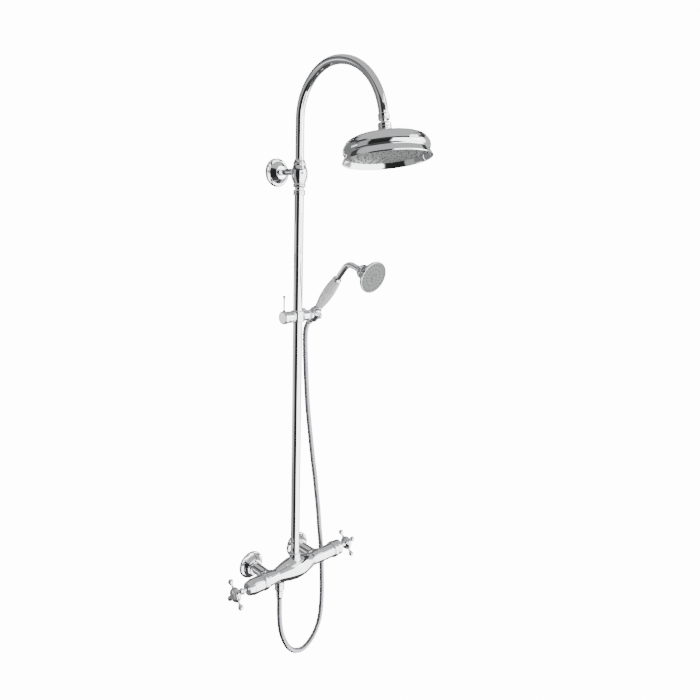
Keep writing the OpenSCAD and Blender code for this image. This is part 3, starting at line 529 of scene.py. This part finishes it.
def even(points, step):
    """The same path with points a fixed step apart."""
    out = [points[0]]
    left = step
    for a, b in zip(points, points[1:]):
        length = (b - a).length
        at = left
        while at <= length:
            out.append(a.lerp(b, at / length))
            at += step
        left = at - length
    return out


def metres(point):
    return [MM * c for c in point]


def hose_piece(name, path, bodies, cad=()):
    """Wound metal strip: a rounded rib to every turn, tight against the next."""
    def radius(s):
        phase = (s / HOSE_PITCH) % 1.0
        return HOSE_D / 2 - HOSE_RIB * (2 * abs(phase - 0.5)) ** 3

    verts, faces = sweep(path, radius, sides=28)
    piece = finish_piece(name, verts, faces, HOSE_METAL, bodies, cad, sharp=50.0)
    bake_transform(piece)
    return piece


def make_hose():
    """The long loop, from the root to the slider, and the short top stretch, from the slider to the
    cradle, as two pieces.
    """
    u = turn(TILT, "X") @ Vector((0, 0, 1))
    route = [Vector(p) for p in HOSE_ROUTE]
    tail = route[-1]
    route += [tail + u * (HOSE_IN_NUT * k / 3) for k in (1, 2, 3)]
    curve = smooth_curve(route, CURVE_STEPS)
    split = CURVE_STEPS * (len(HOSE_ROUTE) - TOP_STRETCH)
    step = HOSE_PITCH / STEPS_PER_RIB
    loop = even(curve[:split + 1], step)
    top = hose_piece("hose_top", even(curve[split:], step), ("slider", "cradle"))
    hose = hose_piece("shower_hose", loop, ("root", "slider"), ("hose",))


make_camera()
make_hose()


# ---- Mixer ----

WAIST_X, WAIST_R, BELLY_RISE = 58.0, 16.5, 11.5


def bar_radius(x):
    """The bar's radius: a belly between two waists, which open towards the collars."""
    x = np.abs(x)
    belly = WAIST_R + BELLY_RISE * np.maximum(1 - (x / WAIST_X) ** 2, 0) ** 1.3
    return belly + 1.5 * np.clip((x - WAIST_X) / 25.0, 0, 1) ** 1.5


def mixer_field(p):
    """The bar, with its two wall necks, the riser's boss and the hose's port."""
    x = p[:, 0]
    r = np.hypot(p[:, 1] - BAR_Y, p[:, 2])
    slope = (bar_radius(x + 0.1) - bar_radius(x - 0.1)) / 0.2
    bar = (r - bar_radius(x)) / np.sqrt(1 + slope * slope)
    ends = np.maximum(-x - LEFT_END, x - RIGHT_END)
    bar = -blend_in(-bar, -ends, 0.8)
    necks = [rod(p, (s * INLET_X, 0, 0), (0, -1, 0), NECK_R, 9.5, -BAR_Y) for s in (-1, 1)]
    shape = blend_in(bar, np.minimum(*necks), 9.0)
    boss = rod(p, (0, BAR_Y, 0), (0, 0, 1), BOSS_R, 0.0, 28.2)
    outlet, down = (-OUTLET_X, BAR_Y, 0), (0, 0, -1)
    port = rod(p, outlet, down, PORT_R, 0.0, PORT_END)
    shape = blend_in(blend_in(shape, boss, 5.0), port, 4.0)
    return blend_out(shape, rod(p, outlet, down, PORT_FACE_R, PORT_END, 40.0, 0.2), 0.4)


def make_mixer():
    net_piece("mixer_casting", mixer_field, (-LEFT_END, -115, -30), (RIGHT_END, -9, 30), 1.25,
              CHROME, "root", ("mixer_body",))
    collar = [(15.1, 0), (19.6, 0), (19.9, 1.6), (21, 2.4), (21, 11.6), (19.9, 12.4), (19.6, 14),
              (15.1, 14)]
    lathe("end_collars", collar, [on_bar_left(LEFT_END), on_bar(RIGHT_END)], CHROME, "root",
          ("collars",), 0.7)
    lathe("left_bonnet", bonnet(42, 14), on_bar_left(LEFT_END + COLLAR_W), CHROME, "root",
          ("bonnets",), 0.9)
    lathe("right_bonnet", bonnet(18, 5), on_bar(RIGHT_END + COLLAR_W), CHROME, "root", (),
          0.9)
    rosette = rosette_outline(34, 20, NECK_R + 0.4, 21)
    lathe("wall_rosettes", rosette, [out_of_wall(-INLET_X, 0), out_of_wall(INLET_X, 0)], CHROME,
          "root", ("inlet_rosettes",), 0.6, 128)


def bonnet(l, nose):
    """The bar's end: a sleeve of length l that narrows to a nose round the spindle."""
    return [(15.1, 0), (18.2, 0), (18.2, 1.2), (19.5, 1.8), (19.5, l - nose), (18.7, l - nose + 0.6),
            (18.7, l - nose + 1.6), (15.7, l - 0.8), (14.2, l), (5.2, l), (5.2, l - 3), (11, l - 3),
            (11, 14), (15.1, 14)]


def rosette_outline(r, l, hole, nose):
    """A hollow wall rosette: a stepped rim of radius r, a hollow cone and a nose round its hole."""
    mid = (r - 9 + nose) / 2
    return [(r - 1.6, 0), (r, 0), (r, 3.6), (r - 0.9, 5.6), (r - 2.8, 6.9), (r - 6, 7.9),
            (r - 7.4, 8.2), (r - 8.1, 9.6), (mid + 1, l - 6), (nose + 0.5, l - 1.7),
            (nose - 0.6, l - 0.5), (nose - 2.4, l), (hole, l), (hole, l - 1.6), (nose - 2, l - 1.6),
            (nose - 0.4, l - 3), (mid - 0.8, l - 6.5), (r - 9.8, 8.6), (r - 8.4, 6.6), (r - 5, 6.2),
            (r - 1.6, 3)]


# ---- Cross handles ----

def spoke_outline():
    """A tapering stem that swells into a pointed ball."""
    stem = [(2.7, 10), (2.7, 17.2), (3.5, 17.6), (3.6, 18.6), (2.6, 19.4), (2.3, 20.6), (2.7, 22.4),
            (4.0, 24.8)]
    ball = [(6.5 * math.cos(math.radians(a)), 31 + 6.5 * math.sin(math.radians(a)))
            for a in range(-40, 91, 10)]
    return [(0, 10)] + stem + ball[:-1] + [(0, 37.5)]


def make_handle(side, place, body):
    """Trumpet hub, four ball-ended spokes and a round cap."""
    hub = [(4.02, -22), (6.4, -22), (7.6, -20.6), (7.7, -18.8), (6.3, -17.3), (5.9, -15),
           (6.4, -12.2), (7.8, -9.6), (10.2, -7.2), (13.2, -5.2), (16, -4), (17, -2.8), (17, -1.6),
           (16.4, -0.8), (16.4, 0.8), (17, 1.6), (17, 3), (15.9, 4.5), (5.2, 4.5), (5.2, 1.5),
           (2.2, 1.5), (2.2, 0), (4.02, 0)]
    lathe(side + "_hub_turned", hub, place, CHROME, body, (side + "_hub",), 0.5)
    arms = [place @ turn(90 * i, "Z") @ turn(90, "Y") for i in range(4)]
    lathe(side + "_spokes_turned", spoke_outline(), arms, CHROME, body, (side + "_spokes",),
          0.4, 48)
    cap = [(0, 4.5), (15.4, 4.5), (15.9, 5.3), (15.4, 6.4), (14.3, 7.1), (13.2, 7.1), (12.6, 6.7),
           (11.6, 7.3), (9.4, 8.3), (6, 9.1), (2.5, 9.45), (0, 9.5)]
    lathe(side + "_cap_turned", cap, place, CHROME, body, (side + "_cap",), 0.35)


# ---- Outlet, riser and bracket ----

def make_outlet():
    place = move(-OUTLET_X, BAR_Y, 0)
    nut = [(10.42, -23.4), (10.42, -36.5), (8.7, -36.5), (8.7, -42.5), (10.6, -42.5), (12.2, -39.5),
           (12.2, -36.2), (11.7, -35.7), (11.7, -34.9), (12.2, -34.4), (12.2, -24.3), (11.6, -23.4)]
    lathe("hose_nut_turned", nut, place, CHROME, "root", ("hose_nut",), 0.4)
    rings = [(8.5, -46.5), (8.1, -47.1), (8.1, -48.1), (8.5, -48.7), (8.5, -50.6), (8.1, -51.2),
             (8.1, -52.2), (8.5, -52.8)]
    ferrule = [(5, -34.5), (5, -52), (6.6, -52), (6.6, -64), (7.6, -64), (8.4, -57)]
    ferrule += rings[::-1] + [(8.5, -36.5), (10.2, -36.5), (10.2, -34.5)]
    lathe("hose_ferrule_turned", ferrule, place, CHROME, "root", ("hose_ferrule",), 0.25)


def make_riser():
    place = on_riser(0)
    foot = [(12.82, 28.4), (13.3, 28.4), (14.5, 29.2), (14.5, 31.6), (13.9, 32.2), (13.9, 32.9),
            (14.5, 33.5), (14.5, 38.6), (13.9, 40.2), (12.4, 41.8), (11.9, 43), (11.02, 43),
            (11.02, 36), (12.82, 36)]
    lathe("foot_nut_turned", foot, place, CHROME, "root", ("foot_nut",), 0.5)
    r, bore, joint = RISER_R, RISER_BORE, RISER_JOINT
    low = [(bore, 34.5), (12.6, 34.5), (12.6, 36), (r, 36), (r, joint - 0.3), (r - 0.3, joint),
           (bore, joint)]
    lathe("riser_lower_tube", low, place, CHROME, "root", ("lower_riser",), 0.15, 128)
    high = [(bore, joint), (r - 0.3, joint), (r, joint + 0.3), (r, 929), (bore, 929)]
    lathe("riser_upper_tube", high, place, CHROME, "root", ("upper_riser",), 0.15, 128)


def make_bracket():
    place = on_riser(BRACKET_Z)
    curve = smooth_curve([(14.8, -29.6), (13.9, -28.2), (13.1, -27.3), (13.5, -25.6), (15, -22.4),
                          (17.2, -16.5), (18.6, -11), (19, -6), (18.7, -1), (17.6, 4.2), (15.8, 9.4),
                          (14.6, 12.4), (14.3, 13.4)], 4)
    top = [(14.8, 13.9), (15, 15), (14.8, 16.1), (14.2, 16.6), (14.2, 18.6), (12.8, 22.6),
           (11.7, 24.6), (11.5, 26.2), (11, 27), (10.06, 27), (10.06, 0.6), (7.5, 0.6), (7.5, -46)]
    low = [(10, -46), (10, -41), (10.4, -38.4), (10.8, -36.2), (12, -34.8), (13.8, -33.6),
           (14.8, -32)]
    body = low + [tuple(c) for c in curve] + top
    field = bracket_field(body)
    net_piece("bracket_vase", field, (-19.5, -105, 929), (19.5, -64, 1002.5), 0.62, CHROME, "root",
              ("bracket_body",))
    nut = [(11.02, -53), (12.9, -53), (13.8, -52.2), (13.8, -47.6), (13.2, -47), (13.2, -46.2),
           (13.8, -45.6), (13.8, -43), (12.9, -41), (10.02, -41), (10.02, -46), (11.02, -46)]
    lathe("bracket_nut_turned", nut, place, CHROME, "root", ("bracket_nut",), 0.4)
    stem = [(0, 0), (STEM_R, 0), (STEM_R, 66.4), (STEM_R, 72), (0, 72)]
    lathe("bracket_stem_turned", stem, out_of_wall(0, BRACKET_Z), CHROME, "root",
          ("bracket_stem",), 0.2)
    lathe("bracket_rosette_turned", rosette_outline(33, 20, STEM_HOLE_R, 16), out_of_wall(0, BRACKET_Z),
          CHROME, "root", ("bracket_rosette",), 0.6, 128)


def polygon_distance(px, pz, outline):
    """Signed distance from points to a closed outline, negative inside."""
    best = np.full(px.shape, 1e9)
    inside = np.zeros(px.shape, bool)
    for (ax, az), (bx, bz) in zip(outline, outline[1:] + outline[:1]):
        dx, dz = bx - ax, bz - az
        size = dx * dx + dz * dz
        if size < 1e-12:
            continue
        t = np.clip(((px - ax) * dx + (pz - az) * dz) / size, 0, 1)
        best = np.minimum(best, (px - ax - t * dx) ** 2 + (pz - az - t * dz) ** 2)
        crosses = (az > pz) != (bz > pz)
        at = ax + (pz - az) * dx / (dz if abs(dz) > 1e-12 else 1e-12)
        inside ^= crosses & (px < at)
    return np.where(inside, -1, 1) * np.sqrt(best)


def bracket_field(outline):
    """The turned vase with the stem's collar blended into its back."""
    def field(p):
        r = np.hypot(p[:, 0], p[:, 1] - BAR_Y)
        vase = polygon_distance(r, p[:, 2] - BRACKET_Z, outline)
        middle, back = (0, BAR_Y, BRACKET_Z), (0, 1, 0)
        collar = rod(p, middle, back, 9.2, 12.5, 19.8)
        whole = blend_in(vase, collar, 2.5)
        hole = rod(p, middle, back, STEM_HOLE_R, 12.5, 30)
        return blend_out(whole, hole, 0.3)
    return field


# ---- Swan-neck arm and rain head ----

def arm_path():
    """Straight up out of the bracket, over the crown and down to the rain head."""
    points = [Vector((0, BAR_Y, z)) for z in np.linspace(BRACKET_Z + 1, BRACKET_Z + 113, 24)]
    base = ARM_TOP_Z - BACK_BEND
    for k in range(1, 61):
        a = math.radians(90 * k / 60)
        y, z = ARM_TOP_Y + BACK_BEND * math.cos(a), base + BACK_BEND * math.sin(a)
        points.append(Vector((0, y, z)))
    base = ARM_TOP_Z - FRONT_BEND
    for k in range(1, 73):
        a = math.radians(90 + (90 - ARM_TILT) * k / 72)
        y, z = ARM_TOP_Y + FRONT_BEND * math.cos(a), base + FRONT_BEND * math.sin(a)
        points.append(Vector((0, y, z)))
    return points


def make_arm():
    verts, faces = sweep(arm_path(), lambda s: ARM_R, 72)
    finish_piece("swan_neck", verts, faces, CHROME, "arm", ("arm_tube",), 40)
    ferrule = [(8.8, 0), (8.8, -11), (11.1, -11), (11.7, -10.3), (11.7, -8.2), (11.3, -7.8),
               (11.3, -7.2), (11.7, -6.8), (11.7, -0.8), (11, 0)]
    lathe("swan_neck_ferrule", ferrule, on_arm_end(), CHROME, "arm", ("arm_ferrule",),
          0.35)
    ball = [(BALL_R * math.cos(math.radians(a)), BALL_Z + BALL_R * math.sin(math.radians(a)))
            for a in range(-68, 57, 4)]
    joint = [(3.5, -3), (3.5, -35.2)] + ball + [(5.5, -16.8), (5.5, -12.6), (6.2, -12), (10.8, -12),
                                              (11.2, -11.6), (11.2, -11), (8.78, -11), (8.78, -3)]
    lathe("ball_joint", joint, on_arm_end(), CHROME, "arm", ("swivel_ball",), 0.2)
    nut = [(9.6, -17), (9.2, -19), (11.6, -19), (11.6, -25), (12.62, -25), (12.62, -31), (13, -31),
           (13.75, -29.7), (13.75, -26.4), (13.2, -25.8), (13.2, -25.2), (13.75, -24.6),
           (13.75, -20), (13.2, -18.6), (11.4, -17)]
    lathe("head_nut", nut, on_arm_end(), CHROME, "rain_head", ("swivel_nut",), 0.4)


HEAD_OUTSIDE = [
    (90, 0.4), (90, 2.4), (89.2, 4.2), (87.8, 6.6), (86.2, 9.6), (84.8, 12.2), (84.1, 13.8),
    (84.1, 14.8), (84.9, 15.7), (86.1, 17.2), (87, 19.6), (87.3, 22.4), (87, 25.2), (86, 28.8),
    (84.4, 32), (83.1, 33.9), (81.9, 34.9), (81.2, 35.6), (80.7, 36.8), (79.2, 38.9), (76.6, 41),
    (73, 42.8), (70.2, 43.6), (69, 44.1), (68.3, 44.9), (60, 46.6), (50, 48.2), (40, 49.5),
    (30, 50.6), (20, 51.6), (16, 52), (14.2, 52.4), (13, 53.4), (12.5, 55.2), (12.4, 57.4),
    (12.6, 60)]
HEAD_INSIDE = [
    (12.6, 65.6), (11.6, 65.6), (11.6, 54.6), (6, 54.6), (6, 50.4), (30, 48.9), (50, 46.3),
    (68, 42.4), (73.7, 40), (78.2, 36.6), (81.2, 33.2), (83.7, 29.5), (85, 25), (85, 20), (82, 16),
    (84.4, 10), (88.2, 2.8), (88.6, 0.4), (89.3, 0)]


# Rings of nozzles, the distance between rings, and how many the first ring has.
RAIN_RINGS = (5, 14.6, 6)
JET_RINGS = (3, 9.6, 8)


def ring_places(n, pitch, first):
    """Places on n rings, each with as many more than the last as the first ring has."""
    out = []
    for k in range(1, n + 1):
        for i in range(k * first):
            out.append(turn(360 * i / (k * first), "Z") @ move(k * pitch, 0, 0))
    return out


def make_head():
    place = on_arm_end(HEAD_RIM)
    lathe("rain_head_dome", HEAD_OUTSIDE + HEAD_INSIDE, place, CHROME, "rain_head",
          ("head_shell",), 0.35, 192, 40)
    plate = [(0, 11), (77.5, 11), (78.3, 11.6), (79.6, 11.6), (80.3, 11), (80.8, 11.2), (81, 13),
             (0, 13)]
    lathe("rain_face", plate, place, RAIN_FACE_PAINTED_LIGHTER, "rain_head", ("head_face",), 0.3,
          160)
    nozzle = [(0, 10.2), (0.6, 10.0), (0.7, 9.3), (1.1, 9.1), (1.5, 9.5), (1.75, 10.4), (2.5, 10.8),
              (2.7, 11.2), (0, 11.4)]
    lathe("rain_nozzles", nozzle, [place @ m for m in ring_places(*RAIN_RINGS)], NOZZLE,
          "rain_head", ("head_nozzles",), 0, 14, 60)


# ---- Slider and cradle ----

def slider_field(p):
    """A collar round the riser, with an arm to the cradle and a boss for the knob."""
    c = (0, BAR_Y, SLIDER_Z)
    x_axis, z_axis = (1, 0, 0), (0, 0, 1)
    collar = rod(p, c, z_axis, SLIDER_R, -13.1, 13.1, 1.6)
    arm = rod(p, c, x_axis, SLIDER_ARM_R, 0, 29, 1.0)
    boss = rod(p, c, x_axis, SLIDER_BOSS_R, -30, 0, 0.6)
    shape = blend_in(blend_in(collar, arm, 2.2), boss, 1.5)
    shape = blend_out(shape, rod(p, c, z_axis, BUSH_HOLE_R), 0.3)
    shape = blend_out(shape, rod(p, c, x_axis, JOURNAL_HOLE_R, 18, 40), 0.3)
    lean = math.radians(SEAT_TILT)
    tip = np.array((0, math.sin(lean), math.cos(lean)))
    seat = rod(p, (SEAT_X, BAR_Y, SLIDER_Z), tip, 6.55, 10, 40, 0.2)
    return blend_out(shape, seat, 0.5)


def cradle_field(p):
    """A barrel and a cone socket, open on its far side so that the hose can pass."""
    c = (CRADLE_X, BAR_Y, SLIDER_Z)
    a = math.radians(TILT)
    u = np.array((0, -math.sin(a), math.cos(a)))
    side = np.array((0, math.cos(a), math.sin(a)))
    barrel = rod(p, c, (1, 0, 0), BARREL_R, -15.6, 18, 2.2)
    socket = rod(p, c, u, SOCKET_R, -12, 12, 1.2)
    shape = blend_in(barrel, socket, 2.4)
    q = p - np.array(c)
    along = q @ u
    cone = CONE_R + (along / CONE_L + 0.5) * CONE_GROWTH + 0.06
    bore = np.linalg.norm(q - along[:, None] * u, axis=1) - cone
    slot = np.maximum(np.abs(q @ side) - 7.5, -q[:, 0])
    shape = blend_out(shape, np.minimum(bore, slot), 0.8)
    journal = rod(p, c, (1, 0, 0), JOURNAL_R, -31, -15, 0.3)
    return np.minimum(shape, journal)


def make_slider():
    net_piece("slider_casting", slider_field, (-31, -102, 628), (30, -68, 656), 0.6, CHROME,
              "slider", ("slider_body",))
    knob = [(0, 0), (13, 0), (14.4, 0.4), (15.2, 1.2), (15.5, 2.4), (15.5, 8.6), (14.9, 9.4),
            (13.8, 10), (13.8, 12.4), (13.3, 13), (13.3, 13.8), (13.8, 14.4), (13.8, 24.6),
            (13.3, 25.2), (13.3, 26), (13.8, 26.6), (13.8, 28.6), (12.8, 29.6), (7.5, 29.6),
            (7.5, 15), (3, 15), (3, 30.8), (0, 30.8)]
    lathe("clamp_knob_turned", knob, along_x(-46), CHROME, "knob", ("clamp_knob",), 0.4)
    lever = [(0, 7.75), (1.8, 7.75), (1.8, 15.2), (2.7, 15.5), (2.9, 16.4), (2.6, 17.2), (1.9, 18),
             (1.7, 20), (1.8, 43), (2.2, 46), (3.2, 48.8), (4, 50), (4, 50.6), (3.4, 51), (0, 51)]
    lathe("clamp_lever_turned", lever, on_slider(-41), LEVER, "knob", ("clamp_lever",),
          0.3, 32)
    ring = [(6.4, 0), (11.9, 0), (12.5, 0.6), (12.5, 4.4), (11.9, 5), (6.4, 5)]
    lathe("friction_ring", ring, along_x(29), PALE, "slider", ("tilt_ring",), 0.3)
    screw = [(0, 6.4), (2.5, 6.4), (2.5, 10), (6.4, 10), (6.5, 13.6), (6.2, 14.2), (5.7, 14.5),
             (5.7, 14.9), (5.9, 15.3), (5.4, 16.8), (4.2, 17.9), (2.4, 18.6), (0, 18.8)]
    lathe("friction_screw", screw, on_slider(SEAT_X) @ turn(-SEAT_TILT, "X"), CHROME, "slider",
          ("tilt_screw",), 0.3, 64)
    net_piece("cradle_casting", cradle_field, (18, -107, 624), (69, -64, 660), 0.6, CHROME,
              "cradle", ("cradle",))


# ---- Handset ----

def make_handset():
    place = on_handset(0)
    cone = [(6.9, 9), (6.9, -26), (7.9, -26), (8.3, -25.2), (8.3, -21.6), (7.9, -21.2), (7.9, -20.6),
            (8.3, -20.2), (8.3, -15), (8.9, -14), (11.4, 14), (12.2, 14.5), (12.2, 16.5), (11.8, 17),
            (8, 17), (8, 27), (4.5, 27), (4.5, 9)]
    lathe("hose_cone_turned", cone, place, CHROME, "hose_end", ("hose_cone",), 0.3)
    fitting = [(8.06, 27.4), (8.06, 17.4), (10.6, 17.4), (11.3, 18.2), (11.3, 19.6), (10.8, 20.3),
               (9.6, 21.2), (9, 22.8), (8.8, 25), (9, 27.4), (9.7, 29.2), (9.9, 30), (9.4, 31),
               (5.5, 31), (5.5, 121), (4.3, 121), (4.3, 27.4)]
    lathe("handset_fitting", fitting, place, CHROME, "handset", ("handset_tube",), 0.3)
    shape = [(9, 31.1), (9.6, 32.2), (10, 34.6), (10.9, 39), (12, 45.8), (13, 54), (13.7, 64),
             (14, 76), (13.9, 88), (13.3, 98), (12.3, 107), (11.5, 113), (10.9, 116.4), (10.2, 117.9)]
    handle = [(5.6, 31.1)] + [tuple(c) for c in smooth_curve(shape, 5)] + [(5.6, 117.9)]
    lathe("porcelain_handle", handle, place, PORCELAIN, "handset", ("handset_handle",),
          0.25, 128, 45)
    collar = [(5.52, 118), (10.4, 118), (11.2, 118.9), (11.2, 121.4), (10.8, 122.2), (9.4, 123),
              (8.2, 123.4), (7.6, 124.4), (7.2, 126), (7, 128), (5.8, 128), (5.8, 124), (5.52, 124)]
    lathe("neck_collar", collar, place, CHROME, "handset", ("handset_neck",), 0.3)
    points = [Vector((0, 0, z)) for z in np.linspace(NECK_START, NECK_TOP, 10)]
    for k in range(1, 41):
        a = math.radians(NECK_BEND * k / 40)
        y, z = NECK_BEND_R * (math.cos(a) - 1), NECK_TOP + NECK_BEND_R * math.sin(a)
        points.append(Vector((0, y, z)))
    a = math.radians(NECK_BEND)
    points += [points[-1] + Vector((0, -math.sin(a), math.cos(a))) * s for s in (4, 9, 14, 19, 21)]
    verts, faces = sweep([place @ p for p in points], lambda s: NECK_TUBE_R, 56)
    finish_piece("handset_bent_neck", verts, faces, CHROME, "handset", (), 40)
    make_rose()


def make_rose():
    place = on_rose(0)
    flare = smooth_curve([(8.3, 0.6), (8.5, 2), (9.2, 3.2), (11, 4.8), (13.4, 7), (15, 9.4),
                          (15.9, 12), (16.4, 14.6), (17, 18), (18, 21), (20, 24.6), (23, 28.6),
                          (26, 32), (29.4, 35.6), (32.4, 38.8), (34.6, 41.4), (35.8, 43.6)], 4)
    shell = [(5.8, -2), (7.2, -2), (8, -1.2), (8.3, -0.3)] + [tuple(c) for c in flare]
    shell += [(36.3, 44.4), (36.5, 45.6), (36.5, 48.2), (36.1, 49), (35.2, 49), (34.9, 48.4),
              (34.9, 46.3), (32.5, 41.6), (24.5, 33), (18.5, 25), (15.4, 18.8), (14.4, 13),
              (12, 9.4), (5.8, 4.6)]
    lathe("handset_bell", shell, place, CHROME, "handset", ("handset_rose",), 0.3, 144, 40)
    plate = [(0, 46), (34.8, 46), (34.8, 47.7), (34.2, 48), (32.8, 48), (32.3, 47.7), (31.6, 48),
             (6.6, 48), (6, 47.6), (5.4, 47.8), (5.1, 48.5), (4.4, 49), (0, 49.1)]
    lathe("handset_face_plate", plate, place, FACE_PAINTED_DARKER, "handset", ("handset_face",),
          0.25, 128)
    nozzle = [(0, 47.6), (2.0, 47.8), (1.9, 48.15), (1.4, 48.4), (1.15, 49.0), (0.85, 49.2),
              (0.5, 49.05), (0.45, 48.5), (0, 48.4)]
    lathe("handset_jets", nozzle, [place @ m for m in ring_places(*JET_RINGS)], NOZZLE, "handset",
          ("handset_nozzles",), 0, 12, 60)


make_mixer()
make_handle("left", on_bar_left(LEFT_HUB) @ turn(HANDLE_ANGLE, "Z"), "left_handle")
make_handle("right", on_bar(RIGHT_HUB) @ turn(-HANDLE_ANGLE, "Z"), "right_handle")
make_outlet()
make_riser()
make_bracket()
make_arm()
make_head()
make_slider()
make_handset()


# ---- Studio ----

def smooth_step(tree, value, low, high):
    """A smooth step from 0 at low to 1 at high."""
    n = tree.nodes.new("ShaderNodeMapRange")
    n.interpolation_type = "SMOOTHSTEP"
    n.inputs["From Min"].default_value = low
    n.inputs["From Max"].default_value = high
    tree.links.new(value, n.inputs["Value"])
    return n.outputs["Result"]


def math_node(tree, kind, a, b=None):
    n = tree.nodes.new("ShaderNodeMath")
    n.operation = kind
    for slot, value in zip(n.inputs, (a, b)):
        if value is None:
            continue
        if isinstance(value, (int, float)):
            slot.default_value = value
        else:
            tree.links.new(value, slot)
    return n.outputs[0]


SEEN_WHITE = 14.0
STUDIO = 6.0
# Levels of the studio's walls, as shares of its strength. Azimuths are in degrees from -Y, the
# way out of the wall, towards +X, and heights are in degrees from the horizon.
BEHIND, SIDE, FLAG, WINDOW = 0.045, 0.09, 0.005, 0.3
RIGHT, CORNICE, CEILING, BELOW = 0.13, 0.012, 0.12, 0.015
# Each wall begins at its first angle and is full at its second, and a span fades from its third
# to its fourth. RISE, CORNICE and CEILING are heights, BELOW is counted down from the horizon,
# and the others are azimuths.
BEHIND_SPAN = (-200, -190, -130, -122)
WINDOW_SPAN, WINDOW_RISE = (-150, -146, -128, -124), (-17, -14, -1, 2)
FLAG_SPAN = (-98, -90, -38, -32)
FRONT_FROM, RIGHT_FROM, BACK_FROM = (-34, -28), (64, 74), (108, 116)
BELOW_FROM, CORNICE_SPAN, CEILING_FROM = (44, 50), (25, 28, 36, 40), (36, 42)


def blend_level(tree, level, target, mask):
    """level where mask is 0, target where it is 1."""
    gap = math_node(tree, "SUBTRACT", target, level)
    return math_node(tree, "ADD", level, math_node(tree, "MULTIPLY", gap, mask))


def band(tree, value, a, b, c, d):
    """1 between b and c, falling to 0 at a and at d."""
    fall = math_node(tree, "SUBTRACT", 1.0, smooth_step(tree, value, c, d))
    return math_node(tree, "MULTIPLY", smooth_step(tree, value, a, b), fall)


def make_world():
    """A white studio with a black flag on the left and grey walls behind and overhead. Its
    places are fixed in the room, and what lies behind the object is plain white."""
    world = bpy.data.worlds.new("Studio")
    bpy.context.scene.world = world
    world.use_nodes = True
    tree = world.node_tree
    for n in list(tree.nodes):
        tree.nodes.remove(n)
    where = tree.nodes.new("ShaderNodeTexCoord")
    split = tree.nodes.new("ShaderNodeSeparateXYZ")
    tree.links.new(where.outputs["Generated"], split.inputs[0])
    x, y, z = split.outputs
    azimuth = math_node(tree, "ARCTAN2", x, math_node(tree, "MULTIPLY", y, -1.0))
    azimuth = math_node(tree, "DEGREES", azimuth)
    height = math_node(tree, "DEGREES", math_node(tree, "ARCSINE", z))
    depth = math_node(tree, "MULTIPLY", height, -1.0)
    level = blend_level(tree, SIDE, BEHIND, band(tree, azimuth, *BEHIND_SPAN))
    window = math_node(tree, "MULTIPLY", band(tree, azimuth, *WINDOW_SPAN),
                       band(tree, height, *WINDOW_RISE))
    level = blend_level(tree, level, WINDOW, window)
    level = blend_level(tree, level, 1.0, smooth_step(tree, azimuth, *FRONT_FROM))
    level = blend_level(tree, level, RIGHT, smooth_step(tree, azimuth, *RIGHT_FROM))
    level = blend_level(tree, level, BEHIND, smooth_step(tree, azimuth, *BACK_FROM))
    level = blend_level(tree, level, FLAG, band(tree, azimuth, *FLAG_SPAN))
    level = blend_level(tree, level, BELOW, smooth_step(tree, depth, *BELOW_FROM))
    level = blend_level(tree, level, CORNICE, band(tree, height, *CORNICE_SPAN))
    level = blend_level(tree, level, CEILING, smooth_step(tree, height, *CEILING_FROM))
    studio = tree.nodes.new("ShaderNodeBackground")
    tree.links.new(level, studio.inputs["Color"])
    studio.inputs["Strength"].default_value = STUDIO
    plain = tree.nodes.new("ShaderNodeBackground")
    plain.inputs["Strength"].default_value = SEEN_WHITE
    plain.inputs["Color"].default_value = (1, 1, 1, 1)
    out = tree.nodes.new("ShaderNodeOutputWorld")
    tree.links.new(seen_or_cast(tree, plain.outputs[0], studio.outputs[0]), out.inputs["Surface"])


def seen_or_cast(tree, seen, cast):
    """One shader for what the eye meets directly, another for what lights and mirrors."""
    ray = tree.nodes.new("ShaderNodeLightPath")
    mix = tree.nodes.new("ShaderNodeMixShader")
    tree.links.new(ray.outputs["Is Camera Ray"], mix.inputs[0])
    tree.links.new(cast, mix.inputs[1])
    tree.links.new(seen, mix.inputs[2])
    return mix.outputs[0]


FLOOR_HALF, FLOOR_Z = 9000, -420


def make_floor():
    corners = ((-1, -1), (1, -1), (1, 1), (-1, 1))
    verts = [(x * FLOOR_HALF, y * FLOOR_HALF, FLOOR_Z) for x, y in corners]
    mesh = bpy.data.meshes.new("floor")
    mesh.from_pydata([metres(v) for v in verts], [], [(0, 1, 2, 3)])
    floor = bpy.data.objects.new("floor", mesh)
    bpy.context.scene.collection.objects.link(floor)
    mat, tree, shader = nodes_of("Floor")
    at = coordinates(tree)
    pale = [(0.3, (0.90, 0.90, 0.90)), (0.7, (0.93, 0.93, 0.93))]
    tree.links.new(ramp(tree, noise(tree, at, 3, 3), pale, True), shader.inputs["Base Color"])
    shader.inputs["Roughness"].default_value = 0.9
    bright = tree.nodes.new("ShaderNodeEmission")
    bright.inputs["Strength"].default_value = SEEN_WHITE
    out = tree.nodes["Material Output"]
    tree.links.new(seen_or_cast(tree, bright.outputs[0], shader.outputs[0]), out.inputs["Surface"])
    floor.data.materials.append(mat)
    floor.visible_glossy = False


def area_light(name, place, target, size, power):
    data = bpy.data.lights.new(name, "AREA")
    data.shape = "RECTANGLE"
    data.size, data.size_y = size
    data.energy = power
    light = bpy.data.objects.new(name, data)
    light.location = place
    light.rotation_mode = "QUATERNION"
    light.rotation_quaternion = (Vector(target) - Vector(place)).to_track_quat("-Z", "Y")
    bpy.context.scene.collection.objects.link(light)


make_world()
make_floor()
area_light("key", place=(1.6, -2.6, 2.2), target=(0, -0.1, 0.5), size=(1.6, 2.4), power=40)
